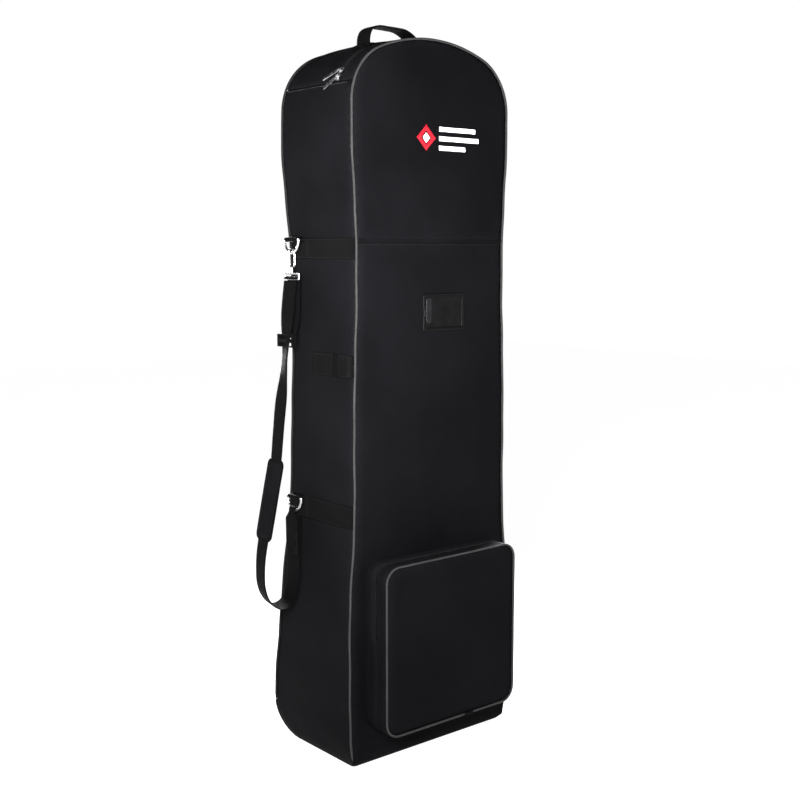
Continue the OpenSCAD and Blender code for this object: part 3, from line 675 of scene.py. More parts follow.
def webbing_look(name, dark, light, rib=0.0017):
    """Polyester webbing: cross ribs set in chevrons."""
    look = Look(name, Specular_IOR_Level=0.018, Sheen_Weight=0.002, Sheen_Roughness=0.4)
    u, v = look.uv(rib)
    chevron = look.math("PINGPONG", look.math("MULTIPLY", u, 0.35), 2.2)
    rows = look.math("SINE", look.math("ADD", v, chevron))
    threads = look.math("SINE", look.math("MULTIPLY", u, 2.0))
    height = look.math("MULTIPLY_ADD", threads, 0.3, rows)
    shade = look.math("MULTIPLY_ADD", look.spread(height, 0, 1, -1.2, 1.2), 0.6,
                      look.math("MULTIPLY", look.noise(40.0, 3.0), 0.4))
    look.coat(shade, grey(dark, 0.1), grey(light, 0.1), look.spread(look.noise(25.0), 0.48, 0.66))
    look.bump(height, 0.00035, 0.8)
    return look.material


def piping_look(name, dark, light):
    """Cord covered in twill."""
    look = Look(name, Specular_IOR_Level=0.12, Sheen_Weight=0.03, Sheen_Roughness=0.5)
    u, v = look.uv(0.0011)
    twill = look.math("SINE", look.math("ADD", u, v))
    soil = look.noise(30.0, 4.0)
    look.coat(look.spread(soil, 0, 1), grey(dark), grey(light), look.spread(soil, 0.5, 0.7))
    look.bump(look.noise(90.0), 0.0005, 0.4)
    look.bump(twill, 0.00015, 0.7)
    return look.material


def metal_look(name, base, rough):
    """Nickel plate: faint smudges and fine scratches."""
    look = Look(name, Metallic=1.0, Base_Color=(base, base * 1.005, base * 1.01, 1.0))
    smudge = look.noise(220.0, 4.0)
    scratch = look.noise(900.0, 2.0, (1, 14, 1))
    look.link(Roughness=look.math("MULTIPLY_ADD", scratch, 0.10, look.spread(smudge, *rough)))
    look.bump(look.noise(1400.0, 2.0, (1, 9, 1)), 0.00002, 0.5)
    return look.material


def plastic_look(name, base, rough=(0.32, 0.46), grain=900.0, **sockets):
    look = Look(name, Specular_IOR_Level=0.05, **sockets)
    mottle = look.noise(120.0, 4.0)
    look.coat(mottle, grey(base * 0.8), grey(base * 1.3), look.spread(mottle, *rough))
    look.bump(look.noise(grain, 2.0), 0.00008, 0.5)
    return look.material


def vinyl_look(name, dark=0.004, light=0.007):
    """Clear film over the dark fabric behind it."""
    look = Look(name, Specular_IOR_Level=0.08, Coat_Weight=0.010, Coat_Roughness=0.12)
    haze = look.noise(60.0, 3.0)
    look.coat(look.spread(haze, 0, 1), grey(dark, 0.10), grey(light, 0.12), look.spread(haze, 0.14, 0.26))
    look.bump(look.noise(28.0, 2.0), 0.0010, 0.35)
    return look.material


def thread_look(name, dark, light, twist=0.0006):
    look = Look(name, Specular_IOR_Level=0.06, Sheen_Weight=0.01, Sheen_Roughness=0.3)
    fibre = look.noise(2600.0, 2.0)
    look.coat(fibre, dark, light, look.spread(fibre, 0.38, 0.6))
    look.bump(fibre, twist * 0.2, 0.6)
    return look.material


def foam_look(name, base):
    look = Look(name, Specular_IOR_Level=0.2)
    cells = look.node("TexVoronoi", {"Vector": look.node("TexCoord").outputs["Object"], "Scale": 700.0})
    rough = look.spread(look.noise(50.0), 0.75, 0.95)
    look.coat(cells.outputs[0], grey(base * 0.7), grey(base * 1.2), rough)
    look.bump(cells.outputs[0], 0.0003, 0.7)
    return look.material


FABRIC = fabric_look("shell_fabric", 0.0020, 0.0034, 0.0048)
LINING = fabric_look("lining", 0.030, 0.045, 0.06, pitch=0.0006, tint=0.02)
WEBBING = webbing_look("black_webbing", 0.0008, 0.0024)
TAPE = webbing_look("zip_tape", 0.002, 0.006, rib=0.0009)
PIPING = piping_look("light_piping", 0.015, 0.024)
DARK_PIPING = piping_look("dark_piping", 0.003, 0.006)
METAL = metal_look("bright_metal", 0.74, (0.14, 0.30))
PLASTIC = plastic_look("black_plastic", 0.0016)
COIL = plastic_look("zip_coil", 0.005, (0.3, 0.45))
FRAME_VINYL = plastic_look("frame_vinyl", 0.0018, (0.34, 0.46), 500.0)
VINYL = vinyl_look("vinyl", 0.0013, 0.0025)
LIP_VINYL = vinyl_look("vinyl_lip", 0.004, 0.008)
FOAM = foam_look("foam", 0.10)
BLACK_THREAD = thread_look("black_thread", grey(0.003), grey(0.009))
GREY_THREAD = thread_look("grey_thread", grey(0.02), grey(0.05))
WHITE_THREAD = thread_look("white_thread", grey(0.60), grey(0.86))
RED_THREAD = thread_look("red_thread", (0.20, 0.003, 0.008, 1), (0.32, 0.008, 0.016, 1))

# ---- Camera, first, with the cord ----


def make_camera():
    data = bpy.data.cameras.new("camera")
    data.lens = 53.77
    data.sensor_width = 36
    data.clip_start = 0.05
    camera = bpy.data.objects.new("camera", data)
    SCENE.collection.objects.link(camera)
    azimuth, pitch, distance = math.radians(39.91), math.radians(7.15), 2.187
    aim = Vector((0.0073, -0.0011, 0.6216))
    level = math.cos(pitch)
    look = Vector((math.sin(azimuth) * level, math.cos(azimuth) * level, -math.sin(pitch)))
    camera.location = aim - look * distance
    camera.rotation_mode = "QUATERNION"
    camera.rotation_quaternion = look.to_track_quat("-Z", "Y")
    SCENE.camera = camera


def in_plane(route, y=RING_Y):
    return np.array([(x, y, z) for x, z in route])


def turned(path, twist):
    """Directions of the strap's width along its path, turned by the twist table."""
    along = unit(np.gradient(path, axis=0))
    angle = np.radians(spline(twist, np.clip(lengths(path), 0, twist[-1][0])))
    across = np.broadcast_to([0.0, 1.0, 0.0], path.shape)
    out = np.cross(along, across)
    return across * np.cos(angle)[:, None] + out * np.sin(angle)[:, None]


def make_strap():
    path = smooth_path(in_plane(STRAP_ROUTE), 0.004)
    across = turned(path, STRAP_TWIST)
    strap = ribbon("shoulder_strap_webbing", path, across, STRAP_W, 0.0024, columns=11)
    dress(strap, WEBBING, "shoulder_strap", ["strap_webbing"])
    return strap, path, across


make_camera()
strap, strap_path, strap_across = make_strap()

# ---- Where panels lie ----


def tuck(gap, z, depth=0.0018, reach=0.007):
    """How far a panel sinks towards its sewn edge. It doesn't at the base, where panels meet flush."""
    return depth * np.exp(-((gap / reach) ** 2)) * np.clip((z - 0.02) / 0.06, 0, 1)


def front_place(flat, gap):
    return stand(flat, FRONT + tuck(gap, flat[:, 1], 0.0026))


def back_place(flat, gap):
    return stand(flat, back_y(flat[:, 1]) - tuck(gap, flat[:, 1] + 0.1))


def wall_place(side, extra=0.0):
    """Places depth and height, or depth and distance round the arch, on the side walls."""

    def place(flat, gap):
        y, t = flat.T
        d, k = profile_place(y, t)
        inset = extra + tuck(gap, t) + edge_round(np.maximum(d, 0), k)
        x, z, _, _ = around(t if side < 0 else OUTLINE_L - t, inset)
        return np.c_[x, y, z]

    return place


def outward(points):
    """Away from the middle of the case, square to its outline."""
    x, z = points[:, 0], points[:, 2]
    side = np.sign(x)
    crown = np.stack([x, 0 * x, z - CROWN_Z], axis=1)
    shoulder = np.stack([x - side * SHOULDER_X, 0 * x, np.maximum(z - SHOULDER_Z, 0)], axis=1)
    on_crown = (np.abs(np.arctan2(x, z - CROWN_Z)) < CROWN_A) & (z > SHOULDER_Z)
    return unit(np.where(on_crown[:, None], crown, shoulder))


def inward(points):
    return -outward(points)


def toward(x, y, z):
    """The same direction for every point."""

    def out(points):
        return np.broadcast_to(np.array([x, y, z], float), points.shape)

    return out


def height_at(s):
    return around(s)[1]


def wall_edge(first, top):
    """Outline of a side wall in depth and height: its front part, the top, down the back, round the base."""
    down = np.linspace(top, HEEL_R, 60)
    parts = [np.array(first, float), np.c_[back_y(height_at(down)) - SEWN, down]]
    for cy, r, turn in ((HEEL_Y, HEEL_R, np.linspace(0, -90, 14)), (TOE_Y, TOE_R, np.linspace(-90, -180, 8))):
        a = np.radians(turn)
        reach = r + EDGE_R * EDGE_HALF * np.sin(a)
        parts.append(np.c_[cy + reach * np.cos(a), r + reach * np.sin(a)])
    points = np.concatenate(parts)
    sewn = SEWN * np.clip((points[:, 1] - TOE_R) / 0.014, 0.1, 1)
    points[:, 0] = np.clip(points[:, 0], FRONT + sewn, back_y(points[:, 1]) - SEWN)
    return points


def bottom_profile(u):
    """The base seen from the side, u metres back from its front seam: place, direction inward, edge share."""
    toe, flat = TOE_R * math.pi / 2, HEEL_Y - TOE_Y
    a = np.where(u < toe, math.pi + u / TOE_R, -math.pi / 2 + np.maximum(u - toe - flat, 0) / HEEL_R)
    r = np.where(u < toe, TOE_R, HEEL_R)
    cy = np.where(u < toe, TOE_Y, HEEL_Y)
    level = (u >= toe) & (u <= toe + flat)
    y = np.where(level, TOE_Y + u - toe, cy + r * np.cos(a))
    z = np.where(level, 0, r + r * np.sin(a))
    ny = np.where(level, 0, -np.cos(a))
    nz = np.where(level, 1, -np.sin(a))
    return y, z, ny, nz, np.clip(nz, 0, 1)


BOTTOM_L = TOE_R * math.pi / 2 + HEEL_Y - TOE_Y + HEEL_R * math.pi / 2


def bottom_place(flat, gap):
    x, u = flat.T
    y, z, ny, nz, k = bottom_profile(u)
    side = half_width(np.maximum(z, EDGE_R * k * EDGE_HALF)) - np.abs(x)
    rise = edge_round(np.maximum(side, 0), k)
    return np.c_[x, y + ny * rise, z + nz * rise]


def bottom_edge():
    u = np.linspace(0, BOTTOM_L, 60)
    _, z, _, _, k = bottom_profile(u)
    cut = EDGE_R * k * EDGE_HALF
    x = half_width(np.maximum(z, cut)) - cut
    return np.concatenate([np.c_[-x, u], np.c_[x, u][::-1]])


def outline_run(s0, s1, inset=0.0, step=0.006):
    x, z, _, _ = around(np.linspace(s0, s1, int(abs(s1 - s0) / step) + 2), inset)
    return np.c_[x, z]


def quilted(place, out, pitch=0.055, depth=0.0016):
    """The same place with sewn diamonds sunk into it."""

    def with_quilting(flat, gap):
        a = (flat[:, 0] + flat[:, 1]) / pitch * math.pi
        b = (flat[:, 0] - flat[:, 1]) / pitch * math.pi
        sink = 1 - np.sqrt(np.abs(np.sin(a) * np.sin(b)))
        points = place(flat, gap)
        return points - out(points) * (depth * sink)[:, None]

    return with_quilting


# ---- The pocket's outline ----

POCKET_SIDE = POCKET[1].x
POCKET_LOW, POCKET_HIGH = POCKET[0].z, POCKET[1].z


def pocket_path(inset=0.0, step=0.004):
    """The pocket's rounded outline in x and z, clockwise from the right of its bottom edge."""
    x, r = POCKET_SIDE - inset, POCKET_R - inset
    low, high = POCKET_LOW + inset, POCKET_HIGH - inset
    corners = [
        arc(-x + r, low + r, r, 270, 180, 12), arc(-x + r, high - r, r, 180, 90, 12),
        arc(x - r, high - r, r, 90, 0, 12), arc(x - r, low + r, r, 0, -90, 12),
    ]
    start = np.array([[0.040, low]])
    return even_path(np.concatenate([start, *corners, start]), step)


POCKET_LINE = pocket_path(step=0.002)
POCKET_S = lengths(POCKET_LINE)
POCKET_L = POCKET_S[-1]
OVER_FOLD = POCKET_LINE[:, 1] > POCKET_FOLD + 0.004
ZIP_START = POCKET_S[np.argmax(OVER_FOLD & (POCKET_LINE[:, 0] < 0))]
ZIP_END = POCKET_S[np.argmax(~OVER_FOLD & (POCKET_LINE[:, 0] > 0) & (POCKET_S > ZIP_START))]


def pocket_out(points):
    """Away from the pocket's middle, square to its outline."""
    low, high = POCKET_LOW + POCKET_R, POCKET_HIGH - POCKET_R
    x = points[:, 0] - np.clip(points[:, 0], -POCKET_SIDE + POCKET_R, POCKET_SIDE - POCKET_R)
    z = points[:, 2] - np.clip(points[:, 2], low, high)
    return unit(np.stack([x, 0 * x, z], axis=1))


def pocket_at(s, inset=0.0):
    line = stand(read_at(s, POCKET_S, POCKET_LINE), 0.0)
    return line - pocket_out(line) * np.broadcast_to(inset, (len(line),))[:, None]


def pocket_wall_place(flat, gap):
    y, s = flat.T
    edge = np.minimum(s, POCKET_L - s) < 0.004
    points = pocket_at(s, np.where(edge, 0, 0.0014 * np.exp(-((gap / 0.005) ** 2))))
    points[:, 1] = y
    return points


def pocket_face_place(flat, gap):
    return stand(flat, POCKET_FRONT + 0.0026 * np.exp(-((gap / 0.007) ** 2)))


def in_pocket(flat):
    low, high = POCKET_LOW + 0.010, POCKET_HIGH - 0.010
    return (np.abs(flat[:, 0]) < POCKET_SIDE - 0.010) & (flat[:, 1] > low) & (flat[:, 1] < high)


# ---- Fabric panels ----

WALL_TOP = left_s(ZIP_LEFT_Z)
ZIP_FRONT_Y, ZIP_BACK_Y = ZIP_Y - ZIP_GAP, ZIP_Y + ZIP_GAP
SEWN_FRONT = FRONT + SEWN
ARCH_END = OUTLINE_L - SHOULDER_Z
front_left = outline_run(TOE_R, SEAM_Z, 0, 0.006)
front_left[:, 0] += PANEL_INSET * np.clip((front_left[:, 1] - TOE_R) / 0.014, 0.1, 1)
front_right = np.c_[-front_left[:, 0], front_left[:, 1]][::-1]
over = np.linspace(WALL_TOP, ARCH_END, 90)
back_over = np.c_[back_y(height_at(over)) - SEWN, over][::-1]
band_low, band_high = WALL_TOP, OUTLINE_L - 0.026
rim_front, rim_back = POCKET_FRONT + 0.0017, POCKET_ZIP_Y - 0.004
wall_front = POCKET_ZIP_Y + 0.004
POCKET_BACK = -0.0975

left_front = [(FRONT, TOE_R), (SEWN_FRONT, TOE_R + 0.014), (SEWN_FRONT, WALL_TOP)]
right_front = [(SEWN_FRONT, 0.026), (-0.068, 0.026), (ZIP_BACK_Y, 0.038), (ZIP_BACK_Y, SHOULDER_Z)]

PANELS = [
    (cloth("front_lower_cloth", [front_left, front_right], front_place, toward(0, -1, 0), puff=0.0045,
           pins=in_pocket), "front_flap", ["front_panel_lower"]),
    (cloth("front_upper_cloth", [outline_run(SEAM_Z, OUTLINE_L - SEAM_Z, PANEL_INSET, 0.009)], front_place,
           toward(0, -1, 0), puff=0.0045), "front_flap", ["front_panel_upper"]),
    (cloth("left_wall_cloth", [wall_edge(left_front, WALL_TOP)], wall_place(-1), outward, puff=0.0021,
           grow=0.010), "case_body", ["gusset_left"]),
    (cloth("right_wall_cloth", [wall_edge(right_front, SHOULDER_Z)], wall_place(1), outward, puff=0.0050,
           grow=0.010), "case_body", ["gusset_right"]),
    (cloth("hood_cloth", [[(ZIP_BACK_Y, WALL_TOP), (ZIP_BACK_Y, ARCH_END)], back_over], wall_place(-1),
           outward, puff=0.0040, grow=0.010), "case_body", ["gusset_top"]),
    (cloth("flap_wall_cloth", [[(SEWN_FRONT, band_low), (SEWN_FRONT, band_high), (ZIP_FRONT_Y, band_high),
                                (ZIP_FRONT_Y, band_low)]], wall_place(-1), outward, cell=0.007, puff=0.0032,
           grow=0.010),
     "front_flap", ["flap_top", "flap_side"]),
    (cloth("back_cloth", [outline_run(HEEL_R, OUTLINE_L - HEEL_R, PANEL_INSET, 0.009)], back_place,
           toward(0, 1, 0), puff=0.0050, grow=0.010), "case_body", ["back_panel"]),
    (cloth("pocket_face_cloth", [pocket_path(0.0036, 0.007)], pocket_face_place, toward(0, -1, 0), cell=0.007,
           puff=0.0055, grow=0.012), None, ["pocket_face_lower", "pocket_face_upper"]),
    (cloth("pocket_rim_cloth", [[(rim_front, 0), (rim_front, POCKET_L), (rim_back, POCKET_L), (rim_back, 0)]],
           pocket_wall_place, pocket_out, cell=0.0055, puff=0.0016, grow=0.010), None, ["pocket_rim"]),
    (cloth("pocket_wall_cloth",
           [[(POCKET_BACK, 0), (rim_back, 0), (rim_back, ZIP_START), (wall_front, ZIP_START),
             (wall_front, ZIP_END), (rim_back, ZIP_END), (rim_back, POCKET_L), (POCKET_BACK, POCKET_L)]],
           pocket_wall_place, pocket_out, cell=0.0055, puff=0.0014, grow=0.010),
     "front_flap", ["pocket_gusset"]),
]


def front_inside(flat, gap):
    return stand(flat, FRONT + 0.0088)


def back_inside(flat, gap):
    return stand(flat, back_y(flat[:, 1]) - 0.0066)


hood_pad_edge = [
    (-0.038, SHOULDER_Z + 0.002), (-0.038, ARCH_END - 0.002), (0.082, ARCH_END - 0.002),
    (0.082, SHOULDER_Z + 0.002),
]
PADS = [
    (cloth("front_padding", [outline_run(0.034, OUTLINE_L - 0.034, 0.012, 0.010)],
           quilted(front_inside, toward(0, 1, 0)), toward(0, 1, 0), cell=0.011, thick=0.0040, puff=0.0012),
     "front_flap", ["front_foam"]),
    (cloth("back_padding", [outline_run(0.092, OUTLINE_L - 0.092, 0.016, 0.010)],
           quilted(back_inside, toward(0, -1, 0)), toward(0, -1, 0), cell=0.011, thick=0.0040, puff=0.0012),
     "case_body", ["back_foam"]),
    (cloth("hood_padding", [hood_pad_edge], quilted(wall_place(-1, 0.0075), inward), inward, cell=0.010,
           thick=0.0040, puff=0.0010), "case_body", ["hood_foam"]),
]
base = panel_mesh("base_cloth", [bottom_edge()], bottom_place, toward(0, 0, -1), 0.007)[0]
add_thickness(base, 0.0014)
settle(base)
dress(base, FABRIC, "case_body", ["bottom_panel"])

# ---- Shoulder pad ----


def make_pad():
    """A pillow along the strap: two nets joined at their edge."""
    along = lengths(strap_path)
    _, _, out = sections(strap_path, strap_across)
    falling = int(np.argmin(strap_path[:, 2]))
    low, high = (np.interp(-z, -strap_path[:falling, 2], along[:falling]) for z in PAD_Z)
    half, r = 0.026, 0.010
    edge = closed_outline(corner_arcs(-half, half, low, high, r, 5), 0.005)
    flat, faces, gap = net(edge, 0.005)
    share = np.clip(gap / 0.011, 0, 1)
    rise = 0.0009 + 0.0031 * np.sqrt(1 - (1 - share) ** 2)
    rim = gap < 0.001
    rise[rim] = 0.0

    def place(across_along, height):
        v, s = across_along.T
        middle, across, up = (read_at(s, along, a) for a in (strap_path, strap_across, out))
        return middle + across * v[:, None] + unit(up) * height[:, None]

    upper, lower = place(flat, rise), place(flat, -rise)
    free = np.nonzero(~rim)[0]
    under = np.arange(len(flat))
    under[free] = len(flat) + np.arange(len(free))
    points = np.concatenate([upper, lower[free]])
    mesh_faces = np.concatenate([faces, under[faces][:, ::-1]])
    a, b, c = (points[faces[:, i]] for i in range(3))
    up = place(flat, rise + 0.01) - upper
    if (np.cross(b - a, c - a) * up[faces[:, 0]]).sum() < 0:
        mesh_faces = mesh_faces[:, ::-1]
    pad = new_object("shoulder_pad_soft", points, mesh_faces, np.concatenate([flat, flat[free]]))
    directions = np.concatenate([unit(up), -unit(up)[free]])

    def out_of(points):
        return directions

    held = np.concatenate([rim, np.zeros(len(free), bool)])
    gaps = np.concatenate([gap, gap[free]])
    pad.modifiers.new("finer", "SUBSURF").render_levels = 1
    CLOTHS.append((pad, held, gaps, out_of, 0.0016, 0.012))
    binding = place(edge, np.zeros(len(edge)))
    return pad, np.concatenate([binding, binding[:1]])


pad, pad_edge = make_pad()
simulate_cloths()
for obj, body, nodes in PANELS:
    dress(obj, FABRIC, body, nodes)
for obj, body, nodes in PADS:
    dress(obj, LINING, body, nodes)
PART = {obj.name: obj for obj, _, _ in PANELS}
front_skin = skin(PART["front_lower_cloth"], PART["front_upper_cloth"])
left_skin = skin(PART["left_wall_cloth"])
top_skin = skin(PART["hood_cloth"])
face_skin = skin(PART["pocket_face_cloth"])

# ---- Patches, rows of stitches, piping ----


def patch(name, edge, place, tree, direction, lift, thick, cell=0.006, finer=True):
    """A flat piece sewn onto a finished surface. place gives its points before they are laid down."""
    away = toward(*(-Vector(direction)))

    def laid(flat, gap):
        return lay_on(tree, place(flat), direction, lift)

    obj = panel_mesh(name, edge, laid, away, cell)[0]
    add_thickness(obj, thick, finer)
    settle(obj)
    return obj


def box_edge(u0, u1, v0, v1):
    return [np.array([(u0, v0), (u1, v0), (u1, v1), (u0, v1)])]


def sewn_rows(name, tree, direction, paths, material, body, lift=0.0004, pitch=0.0036, radius=0.00032):
    """Rows of stitches on a surface."""
    normal = -np.array(direction, float)
    pieces = []
    for path in paths:
        pieces += row(lay_on(tree, even_path(path, 0.004), direction, lift), normal, pitch)
    obj = threads(name, pieces, radius)
    return dress(obj, material, body)


LEFT, FACE = (1, 0, 0), (0, 1, 0)


def tapered(path, radius, run=0.012):
    """Radius along a piping that thins out at both ends."""
    d = lengths(path)
    end = np.minimum(d, d[-1] - d)
    return radius * (0.45 + 0.55 * np.clip(end / run, 0, 1)) * (1 + 0.04 * np.sin(d * 90))


line = stand(outline_run(0.015, OUTLINE_L - 0.015, PIPING_INSET, 0.005), FRONT + 0.0012)
front_piping = tube("front_piping_cord", line, tapered(line, PIPING_R), 12)
dress(front_piping, PIPING, "front_flap", ["front_piping"])

line = outline_run(HEEL_R + 0.001, OUTLINE_L - HEEL_R - 0.001, 0.0012, 0.006)
line = stand(line, back_y(line[:, 1]) - 0.0010)
back_piping = tube("back_piping_cord", line, tapered(line, 0.0023), 10)
dress(back_piping, DARK_PIPING, "case_body", ["back_piping"])

# A strip inside the left edge joins the flap to the wall, so that no gap opens beside the hinge
zs = np.linspace(TOE_R + 0.012, ZIP_LEFT_Z - 0.004, 160)
hinge_line = np.c_[-half_width(zs) + 0.0042, np.full(160, FRONT + 0.0105), zs]
hinge_strip = dress(ribbon("hinge_strip", hinge_line, (0, 1, 0), 0.0150, 0.0010, 9), FABRIC)
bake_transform(hinge_strip)

# Seam across the front: a narrow folded ridge with stitches under it
xs = np.linspace(-half_width(SEAM_Z) + 0.003, half_width(SEAM_Z) - 0.003, 90)
ridge = lay_on(front_skin, np.c_[xs, np.full(90, FRONT), np.full(90, SEAM_Z + 0.0026)], FACE, 0.0003)
ridge[:, 1] = np.interp(xs, xs[::6], ridge[::6, 1])
seam = ribbon("front_seam_fold", ridge, (0, 0, 1), 0.0064, 0.0011, 7, 0.0002)
dress(seam, FABRIC, "front_flap", ["seam_strip"])
reach, low_z = half_width(SEAM_Z) - 0.006, SEAM_Z - 0.0035
sewn_rows("front_seam_stitches", front_skin, FACE, [[(-reach, FRONT, low_z), (reach, FRONT, low_z)]],
          BLACK_THREAD, "front_flap")

# Webbing bands on the left wall
band_tops = {}
for node, back_end in (("web_band_upper", 0.079), ("web_band_middle", 0.016), ("web_band_lower", 0.079)):
    low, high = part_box(node)
    low_z, high_z = low.z, high.z
    middle_z = (low_z + high_z) / 2

    def band_place(flat, z=middle_z):
        return np.c_[np.full(len(flat), -HALF_W), flat[:, 1], z + flat[:, 0]]

    half = (high_z - low_z) / 2
    band = patch(node + "_webbing", box_edge(-half, half, SEWN_FRONT + 0.0006, back_end), band_place,
                 left_skin, LEFT, 0.0019, 0.0018)
    dress(band, WEBBING, "case_body", [node])
    tree = skin(band)
    band_tops[node] = (tree, low_z, high_z)
    y0, y1 = SEWN_FRONT + 0.003, back_end - 0.003
    rows = [[(-HALF_W, y0, z), (-HALF_W, y1, z)] for z in (low_z + 0.0022, high_z - 0.0022)]
    if node == "web_band_middle":
        columns = (-0.090, -0.0865, -0.083, 0.010)
    else:
        columns = (0.030, 0.035)
    rows += [[(-HALF_W, y, low_z + 0.003), (-HALF_W, y, high_z - 0.003)] for y in columns]
    sewn_rows(node + "_stitches", tree, LEFT, rows, BLACK_THREAD, "case_body", 0.0001)

# Two folds of the middle band, pinched across it
tree, low_z, high_z = band_tops["web_band_middle"]
for i, y in enumerate((-0.052, -0.044)):
    line = even_path([(-HALF_W, y, low_z + 0.001), (-HALF_W, y, high_z - 0.001)], 0.003)
    path = lay_on(tree, line, LEFT, 0.0004)
    fold = ribbon(f"web_band_middle_fold_{i + 1}", path, (0, 1, 0), 0.0052, 0.0012, 7, 0.0010)
    dress(fold, WEBBING, "case_body")

# The seam at the top of the left wall
seam_row = [(-HALF_W + 0.004, y, ZIP_LEFT_Z - 0.0045) for y in (-0.094, 0.090)]
sewn_rows("left_wall_stitches", left_skin, LEFT, [seam_row], GREY_THREAD, "case_body", 0.0003, 0.0042)

# ---- Zippers ----


def arch_points(s0, s1, inset, y, step=0.006):
    return stand(outline_run(s0, s1, inset, step), y)


def coil(name, path, normals, y_in, y_out, pitch, offset, body, node, radius=0.00062):
    """One row of zipper teeth, set across a path."""
    line = even_path(path, pitch)
    shift = (line[1] - line[0]) * offset
    pieces = []
    for p, up in zip(line, normals_along(path, normals, len(line))):
        a, b = p + shift, p + shift
        a[1], b[1] = y_in, y_out
        pieces.append((a, b, up))
    obj = threads(name, pieces, radius)
    return dress(obj, COIL, body, [node])


zip_s1 = OUTLINE_L - ZIP_RIGHT_Z
for half, sign in (("front", -1), ("back", 1)):
    body = "front_flap" if half == "front" else "case_body"
    path = arch_points(WALL_TOP - 0.004, zip_s1, 0.0034, ZIP_Y + sign * 0.0080)
    tape = ribbon(f"zip_tape_{half}_woven", path, (0, 1, 0), 0.0142, 0.0009, 5)
    dress(tape, TAPE, body, [f"zip_tape_{half}"])
    path = arch_points(WALL_TOP, zip_s1, 0.0014, ZIP_Y)
    coil(f"zip_coil_{half}_teeth", path, outward(path), ZIP_Y - sign * 0.0004, ZIP_Y + sign * 0.0030, 0.0021,
         0.25 * sign, body, f"zip_coil_{half}")
path = arch_points(left_s(1.146), left_s(1.168), 0.0042, ZIP_Y)
tab = ribbon("zip_end_patch", path, (0, 1, 0), 0.027, 0.0014, 7)
dress(tab, WEBBING, "case_body", ["zip_end_tab"])


def fold_rows(name, y, s0, s1, body):
    """Stitches along a folded edge beside the zipper."""
    path = arch_points(s0, s1, 0.0006, y)
    return dress(threads(name, row(path, outward(path), 0.0036)), BLACK_THREAD, body)


fold_rows("hood_edge_stitches", ZIP_BACK_Y + 0.0028, WALL_TOP + 0.004, zip_s1, "case_body")
fold_rows("flap_edge_stitches", ZIP_FRONT_Y - 0.0028, WALL_TOP + 0.004, zip_s1, "front_flap")


def across_fold(obj):
    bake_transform(obj)


def pocket_run(s0, s1, inset, y, step=0.004):
    p = pocket_at(np.linspace(s0, s1, int((s1 - s0) / step) + 2), inset)
    p[:, 1] = y
    return p


for half, sign, body in (("back", 1, "front_flap"), ("front", -1, "pocket_flap")):
    node = f"pocket_zip_{half}"
    path = pocket_run(ZIP_START + 0.001, ZIP_END - 0.001, 0.0032, POCKET_ZIP_Y + sign * 0.0080)
    tape = ribbon(node + "_tape", path, (0, 1, 0), 0.0142, 0.0009, 5)
    dress(tape, TAPE, body, [node])
    path = pocket_run(ZIP_START + 0.001, ZIP_END - 0.001, 0.0014, POCKET_ZIP_Y)
    coil(node + "_teeth", path, pocket_out(path), POCKET_ZIP_Y - sign * 0.0004,
         POCKET_ZIP_Y + sign * 0.0028, 0.0019, 0.25 * sign, body, node)
    path = pocket_run(ZIP_START + 0.002, ZIP_END - 0.002, -0.0001, POCKET_ZIP_Y + sign * 0.0066)
    dress(threads(node + "_stitches", row(path, pocket_out(path))), BLACK_THREAD, body)

across_fold(PART["pocket_face_cloth"])
across_fold(PART["pocket_rim_cloth"])
loop_line = stand(pocket_path(0.0014, 0.004), POCKET_FRONT + 0.0012)
trim = lengths(loop_line)
loop_line = loop_line[(trim > 0.004) & (trim < trim[-1] - 0.004)]
pocket_piping = tube("pocket_piping_cord", loop_line, tapered(loop_line, 0.0018, 0.006), 12)
dress(pocket_piping, PIPING, None, ["pocket_piping_lower", "pocket_piping_upper"])
across_fold(pocket_piping)
# A short sleeve covers the joint in the piping, at the bottom right
sleeve = even_path([(x, POCKET_FRONT + 0.0012, POCKET_LOW + 0.0014) for x in (0.031, 0.049)], 0.003)
dress(tube("pocket_piping_sleeve", sleeve, 0.0027, 12), FABRIC, "front_flap")

# ---- Card window ----


def rounded(box, inset, r, steps=6, side=14):
    """A rounded rectangle inside a box, with the same number of points on each side, whatever its size."""
    low, high = box
    corners = corner_arcs(low.x + inset, high.x - inset, low.z + inset, high.z - inset, r, steps)
    points = []
    for i, c in enumerate(corners):
        following = corners[(i + 1) % 4][0]
        points += list(c) + [c[-1] + (following - c[-1]) * k / side for k in range(1, side)]
    return np.array(points)


def ring_patch(name, outer, inner_line, tree, lift, thick, columns=6):
    """A flat border between two outlines, softly rounded over its width."""
    t = np.linspace(0, 1, columns)
    flat = np.concatenate([outer * (1 - k) + inner_line * k for k in t])
    points = lay_on(tree, stand(flat, FRONT), FACE, 0)
    height = np.repeat(lift - 0.0006 * np.abs(2 * t - 1) ** 3, len(outer))
    points[:, 1] -= height
    n = len(outer)
    faces = [(i * n + k, i * n + (k + 1) % n, (i + 1) * n + (k + 1) % n, (i + 1) * n + k)
             for i in range(columns - 1) for k in range(n)]
    obj = new_object(name, points, faces, flat)
    add_thickness(obj, thick, False)
    settle(obj)
    return obj


WINDOW = low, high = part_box("window_frame")
outer = rounded(WINDOW, 0, 0.005)
opening = rounded(WINDOW, 0.0068, 0.0025)
